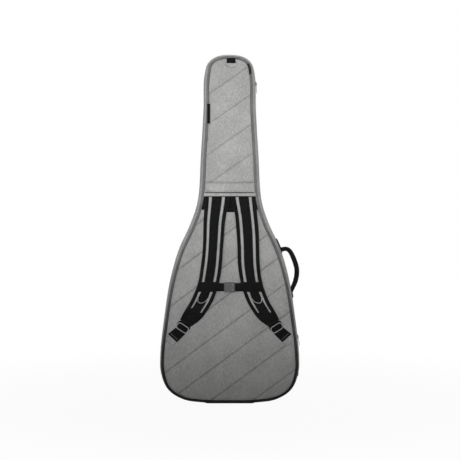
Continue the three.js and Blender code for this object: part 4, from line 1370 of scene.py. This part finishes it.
def build_pocket():
    middle = 255
    outline = resample(rounded(280, 290, 40, 14, (0, middle)), 260, closed=True)
    section = [(-1.5, 80.4), (-2.2, 84), (-2.4, 90), (-1.0, 96), (1.2, 99.2), (3.0, 100.4),
               (4.6, 99.0), (3.0, 95), (1.5, 88), (2.2, 82), (1.2, 80.2)]
    rows = [in_plane(shrink(outline, amount), y) for amount, y in section]
    lofted("pocket_gusset_cloth", rows, PLAIN_CLOTH, "lid", "grey_fabric", ["pocket_gusset"],
           closed=True)
    path = in_plane(shrink(outline, 3.0), 100.8)
    lofted("pocket_piping", tube(path, 2.6, 10, closed=True), PIPING, "lid", "piping",
           sharp=80, closed=True)

    def inside(height):
        beyond = np.maximum(0, np.abs(height - middle) - 105)
        return 95.5 + np.sqrt(np.maximum(0, 40.0 ** 2 - np.minimum(beyond, 40) ** 2))

    lines = [(-BODY_STITCH[0], BODY_STITCH[1] + BODY_STITCH[2] * k) for k in range(-1, 6)]
    quilt("pocket_cloth", inside, 114.5, 395.5, lines, lambda z: np.full_like(z, 100.6), 1,
          LID_CLOTH, "lid", "pocket_panel", puff=2.2, cap=1.0, depth=2.4,
          border=shrink(outline, 4.5))
    tape = Parts()
    tape.loft(plate_rows(rounded(258, 22, 2, 3, (0, POCKET_ZIP_Z)), -104.3, -102.9, 0.3))
    for z in (POCKET_ZIP_Z - 6.2, POCKET_ZIP_Z + 6.2):
        tape.loft(tube(level_line(-128, 128, 40, 103.9, z), 1.3, 8))
    tape.make("pocket_zip_tape", ZIP_TAPE, "lid", "zip_tape", ["pocket_zip_chain"])
    teeth = Parts()
    for k, x in enumerate(np.arange(-124, 124, 1.65)):
        z = POCKET_ZIP_Z + (0.9 if k % 2 else -0.9)
        tooth = [(x, y, z + up) for y, up in ((104.5, -1.9), (104.9, -1.2), (104.9, 1.2),
                                              (104.5, 1.9))]
        teeth.loft(tube(tooth, np.array([0.4, 0.62, 0.62, 0.4]), 6, first_side=(1, 0, 0)))
    teeth.make("pocket_zip_teeth", TEETH, "lid", "zip_teeth")


def slider(name, prefix, origin, along, out, body, pull_body, lift=1.0):
    """Zip slider with its bridge, and a moulded pull that hangs from it."""
    origin, along, out = (np.array(a, float) for a in (origin, along, out))
    across = np.cross(out, along)
    place = placed(origin, along, across, out * lift)
    shape = []
    for u in np.linspace(-6.2, 6.2, 13):
        half = 4.6 - 1.6 * max(0.0, (u + 1.0) / 7.0)
        shape.append((u, half - 1.2 * max(0.0, (abs(u) - 4.8) / 1.4)))
    outline = np.array(shape + [(u, -half) for u, half in shape[::-1]])
    parts = Parts()
    parts.loft(plate_rows(outline, 0.7, 3.2, 0.7, place))
    bridge = np.array([(-4.2, 0, 2.6), (-3.4, 0, 3.7), (-1.2, 0, 4.3), (1.5, 0, 4.3),
                       (3.2, 0, 3.8), (4.0, 0, 2.6)])
    parts.loft(tube(place(resample(bridge, 14)), 1.0, 8, first_side=across))
    for sign in (-1, 1):
        rail = np.array([(u, sign * 4.3 * (1 - 0.05 * abs(u)), 1.2)
                         for u in np.linspace(-5.0, 2.5, 8)])
        parts.loft(tube(place(rail), 0.75, 6, first_side=out))
    parts.make(f"{name}_body", SLIDER, body, "zip_slider", [f"{prefix}_slider"])

    # the pull hangs straight down, whichever way the zip runs
    sideways = np.cross((0, 0, 1.0), out)
    sideways /= np.linalg.norm(sideways)
    hang = placed(origin, sideways, -np.cross(out, sideways), out * lift)
    tag = Parts()
    ring = np.array([(2.4 * math.cos(a), 1.4 + 3.6 * math.sin(a), 4.6 + 0.3 * math.cos(a))
                     for a in np.linspace(0, 2 * math.pi, 28, endpoint=False)])
    tag.loft(tube(hang(ring), 0.6, 7, closed=True), closed=True)
    half = [(3.2, 5.5), (3.5, 9), (2.9, 15), (3.3, 23), (3.4, 27), (2.2, 29.6)]
    outline = half + [(0, 30)] + [(-u, v) for u, v in half[::-1]] + [(-1.6, 4.2), (1.6, 4.2)]
    smooth = resample(closed_curve(outline, 4), 48, closed=True)
    tag.loft(plate_rows(smooth, 3.7, 5.3, 0.55, hang))
    for v in (17, 19.2, 21.4, 23.6, 25.8):
        tag.loft(tube(hang(level_line(-2.3, 2.3, 6, v, 5.35)), 0.45, 6, first_side=out))
    tag.make(f"{name}_tag", PULL, pull_body, "zip_pull", [f"{prefix}_pull"])


def build_sliders():
    width = half_width(0)
    for name, z, end in (("body_zip", 212.0, 345.0), ("neck_zip", 1030.0, 950.0)):
        start, stop = (np.array([float(width(h)), SEAM_Y, h]) for h in (z, end))
        along = (stop - start) / np.linalg.norm(stop - start)
        out = np.cross(along, LID_SIDE)
        out = out if out[0] > 0 else -out
        slider(f"{name}_runner", name, start + out * 0.9, along, out / np.linalg.norm(out),
               f"{name}_slider_body", f"{name}_pull_body", 0.8)
    slider("pocket_zip_runner", "pocket_zip", (-113, 102.3, POCKET_ZIP_Z), (1, 0, 0), LID_SIDE,
           "pocket_zip_slider_body", "pocket_zip_pull_body")
    x = float(width(94))
    rows = []
    for z in np.linspace(83.5, 104.5, 9):
        bulge = 1.2 * math.sin(math.pi * (z - 83.5) / 21)
        section = ((1.0, -23), (2.2 + bulge, -23.2), (3.2 + bulge, -22), (3.5 + bulge, -20),
                   (3.2 + bulge, -18), (2.2 + bulge, -16.9), (1.0, -17))
        rows.append([(x + out, y, z) for out, y in section])
    lofted("zip_end_loop", rows, WEBBING, "back_half", "black_webbing", ["zip_end_tab"])


def soft_block(name, low, high, radius, material, body, node, cap):
    """Padded block, remeshed so that the cloth simulation can inflate it."""
    points, faces = rounded_bar(low, high, radius, 3)
    piece = make(name, points, faces, material, body, [node], sharp=80)
    remesh = piece.modifiers.new("remesh", "REMESH")
    remesh.mode = "VOXEL"
    remesh.voxel_size = 0.005
    graph = bpy.context.evaluated_depsgraph_get()
    fine = bpy.data.meshes.new_from_object(piece.evaluated_get(graph))
    piece.modifiers.clear()
    piece.data = fine
    finish_mesh(fine, material, 80)
    pinned = [v.index for v in fine.vertices if v.co.y * 1000 < low[1] + 3]
    inflate_later(piece, pinned, 4.0, cap)


def build_inside():
    half = [(56, -58.6), (56, -27), (50, -25), (36, -25), (31, -30), (29, -40), (24, -44)]
    profile = [(-56, -58.6)] + half + [(0, -45.5)] + [(-x, y) for x, y in half[:0:-1]]
    outline = resample(closed_curve(profile, 6), 150, closed=True)
    rows = stacked(outline, [(7, 761), (2.5, 762.5), (0.6, 767), (0, 775), (0, 795), (0, 815),
                             (0.6, 823), (2.5, 827.5), (7, 829)])
    cradle = lofted("neck_cradle_cushion", rows, LINING, "back_half", "lining",
                    ["neck_cradle"], 80)

    rows = []
    section = ((0.9, 777), (-0.6, 776.5), (-1.0, 778), (-1.0, 795), (-1.0, 812), (-0.6, 813.5),
               (0.9, 813), (1.0, 795))
    for x in np.linspace(-52, 52, 30):
        y = -22.2 + 0.5 * math.cos(x / 52 * math.pi / 2)
        rows.append([(x, y + out, z) for out, z in section])
    lofted("neck_strap_webbing", rows, WEBBING_ACROSS, "neck_strap_body", "black_webbing",
           ["neck_strap"])
    lines = [level_line(-50, 50, 40, -22.9, z) for z in (779, 811)]
    stitches("neck_strap_stitching", lines, LID_SIDE, BLACK_THREAD, "neck_strap_body",
             "black_webbing", 2.6, 1.6, 0.4)
    soft_block("end_pin_cushion", (-58, -58.4, 28.5), (58, -18.5, 40), 4.5, LINING, "back_half",
               "end_pin_pad", 1.0)


def build_base():
    rows = stacked(rounded(160, 110, 14, 8, (0, -3)), [
        (1.2, 0.0), (0.2, 0.5), (0, 1.2), (0, 2.2), (0.8, 2.9), (3.0, 3.0)])
    lofted("base_pad_rubber", rows, RUBBER, "back_half", "rubber", ["base_pad"])
    ribs = Parts()
    for x in np.arange(-68, 69, 8.5):
        ribs.loft([[(x - 2.4, y, 3.4), (x + 2.4, y, 3.4), (x + 1.8, y, 4.8), (x - 1.8, y, 4.8)]
                   for y in np.linspace(-50, 44, 12)])
    ribs.make("base_pad_ribs", RUBBER, "back_half", "rubber")


# ------------------------------------------------------------------ camera, floor and light

def floor_paper():
    """Grey paper that fades into the white background for the camera only."""
    g = Graph("floor_paper")
    squares = g.math("ADD", g.math("MULTIPLY", g.x, g.x), g.math("MULTIPLY", g.y, g.y))
    share = g.smooth(g.math("SQRT", squares), 500, 1600, 0.95, 1.0)
    grain = g.noise((3, 3, 3), 2, 0.5)
    colour = g.ramp(grain, [(0.3, 0.21), (0.7, 0.24)])
    g.finish(colour, 0.9, grain, 0.05, 0.2)
    glow = g.node("ShaderNodeEmission", {"Color": (1, 1, 1, 1), "Strength": 1.0})
    seen = g.node("ShaderNodeLightPath", {}).outputs["Is Camera Ray"]
    mix = g.node("ShaderNodeMixShader", {
        0: g.math("MULTIPLY", seen, share), 1: g.shader.outputs[0], 2: glow.outputs[0]})
    output = next(n for n in g.tree.nodes if n.type == "OUTPUT_MATERIAL")
    g.tree.links.new(mix.outputs[0], output.inputs["Surface"])
    return g.material


def aimed(name, data, place, target):
    """Camera or lamp in metres, looking from its place to a target."""
    holder = bpy.data.objects.new(name, data)
    holder.location = place
    holder.rotation_mode = "QUATERNION"
    holder.rotation_quaternion = (Vector(target) - Vector(place)).to_track_quat("-Z", "Y")
    SCENE.collection.objects.link(holder)
    return holder


def area_light(name, place, height, size, power, spread=180):
    """Round lamp, hidden from the camera, aimed at a height on the axis of the bag."""
    lamp = bpy.data.lights.new(name, "AREA")
    lamp.shape = "DISK"
    lamp.size = size
    lamp.energy = power
    lamp.spread = math.radians(spread)
    aimed(name, lamp, place, (0, 0, height)).visible_camera = False


def build_floor():
    count = 96
    angle = np.arange(count) / count * 2 * math.pi
    rings = [np.column_stack([r * np.cos(angle), r * np.sin(angle), np.full(count, -0.02)])
             for r in (100, 800, 2500, 9000, 30000)]
    faces = grid_faces(len(rings), count) + [tuple(range(count))[::-1]]
    mesh = bpy.data.meshes.new("floor")
    mesh.from_pydata((np.vstack(rings) * MM).tolist(), [], faces)
    mesh.materials.append(floor_paper())
    floor = bpy.data.objects.new("floor", mesh)
    SCENE.collection.objects.link(floor)


def build_world():
    """Dim white sky that the camera sees as plain white."""
    world = bpy.data.worlds.new("studio")
    world.use_nodes = True
    SCENE.world = world
    tree = world.node_tree
    dim, seen = tree.nodes["Background"], tree.nodes.new("ShaderNodeBackground")
    for sky, strength in ((dim, 0.19), (seen, 1.0)):
        sky.inputs["Color"].default_value = (1, 1, 1, 1)
        sky.inputs["Strength"].default_value = strength
    rays = tree.nodes.new("ShaderNodeLightPath")
    mix = tree.nodes.new("ShaderNodeMixShader")
    tree.links.new(rays.outputs["Is Camera Ray"], mix.inputs[0])
    tree.links.new(dim.outputs[0], mix.inputs[1])
    tree.links.new(seen.outputs[0], mix.inputs[2])
    tree.links.new(mix.outputs[0], tree.nodes["World Output"].inputs["Surface"])


def build_stage():
    build_floor()
    build_world()
    SCENE.view_settings.view_transform = "Standard"
    area_light("key", (-0.1, -3.18, 1.01), 0.88, 1.38, 5.5, 26)
    area_light("fill_front", (0.8, 2.6, 2.2), 0.6, 1.8, 50)
    area_light("fill_left", (-2.3, 0.9, 1.7), 0.6, 1.4, 9)
    area_light("fill_right", (2.3, 0.9, 1.7), 0.6, 1.4, 9)
    area_light("overhead", (0, 0.35, 3.0), 0.0, 2.0, 30)
    camera = bpy.data.cameras.new("camera")
    camera.sensor_width = 36.0
    camera.lens = 122.5
    SCENE.camera = aimed("camera", camera, (0.001, -5.08, 0.7935), (0.001, -0.08, 0.5615))


for build in (build_stage, build_panels, build_piping, build_gussets, build_foam, build_lining,
              build_zip, build_straps, build_locks, build_sternum, build_anchor, build_top,
              build_handle, build_pocket, build_sliders, build_inside, build_base):
    build()
simulate()
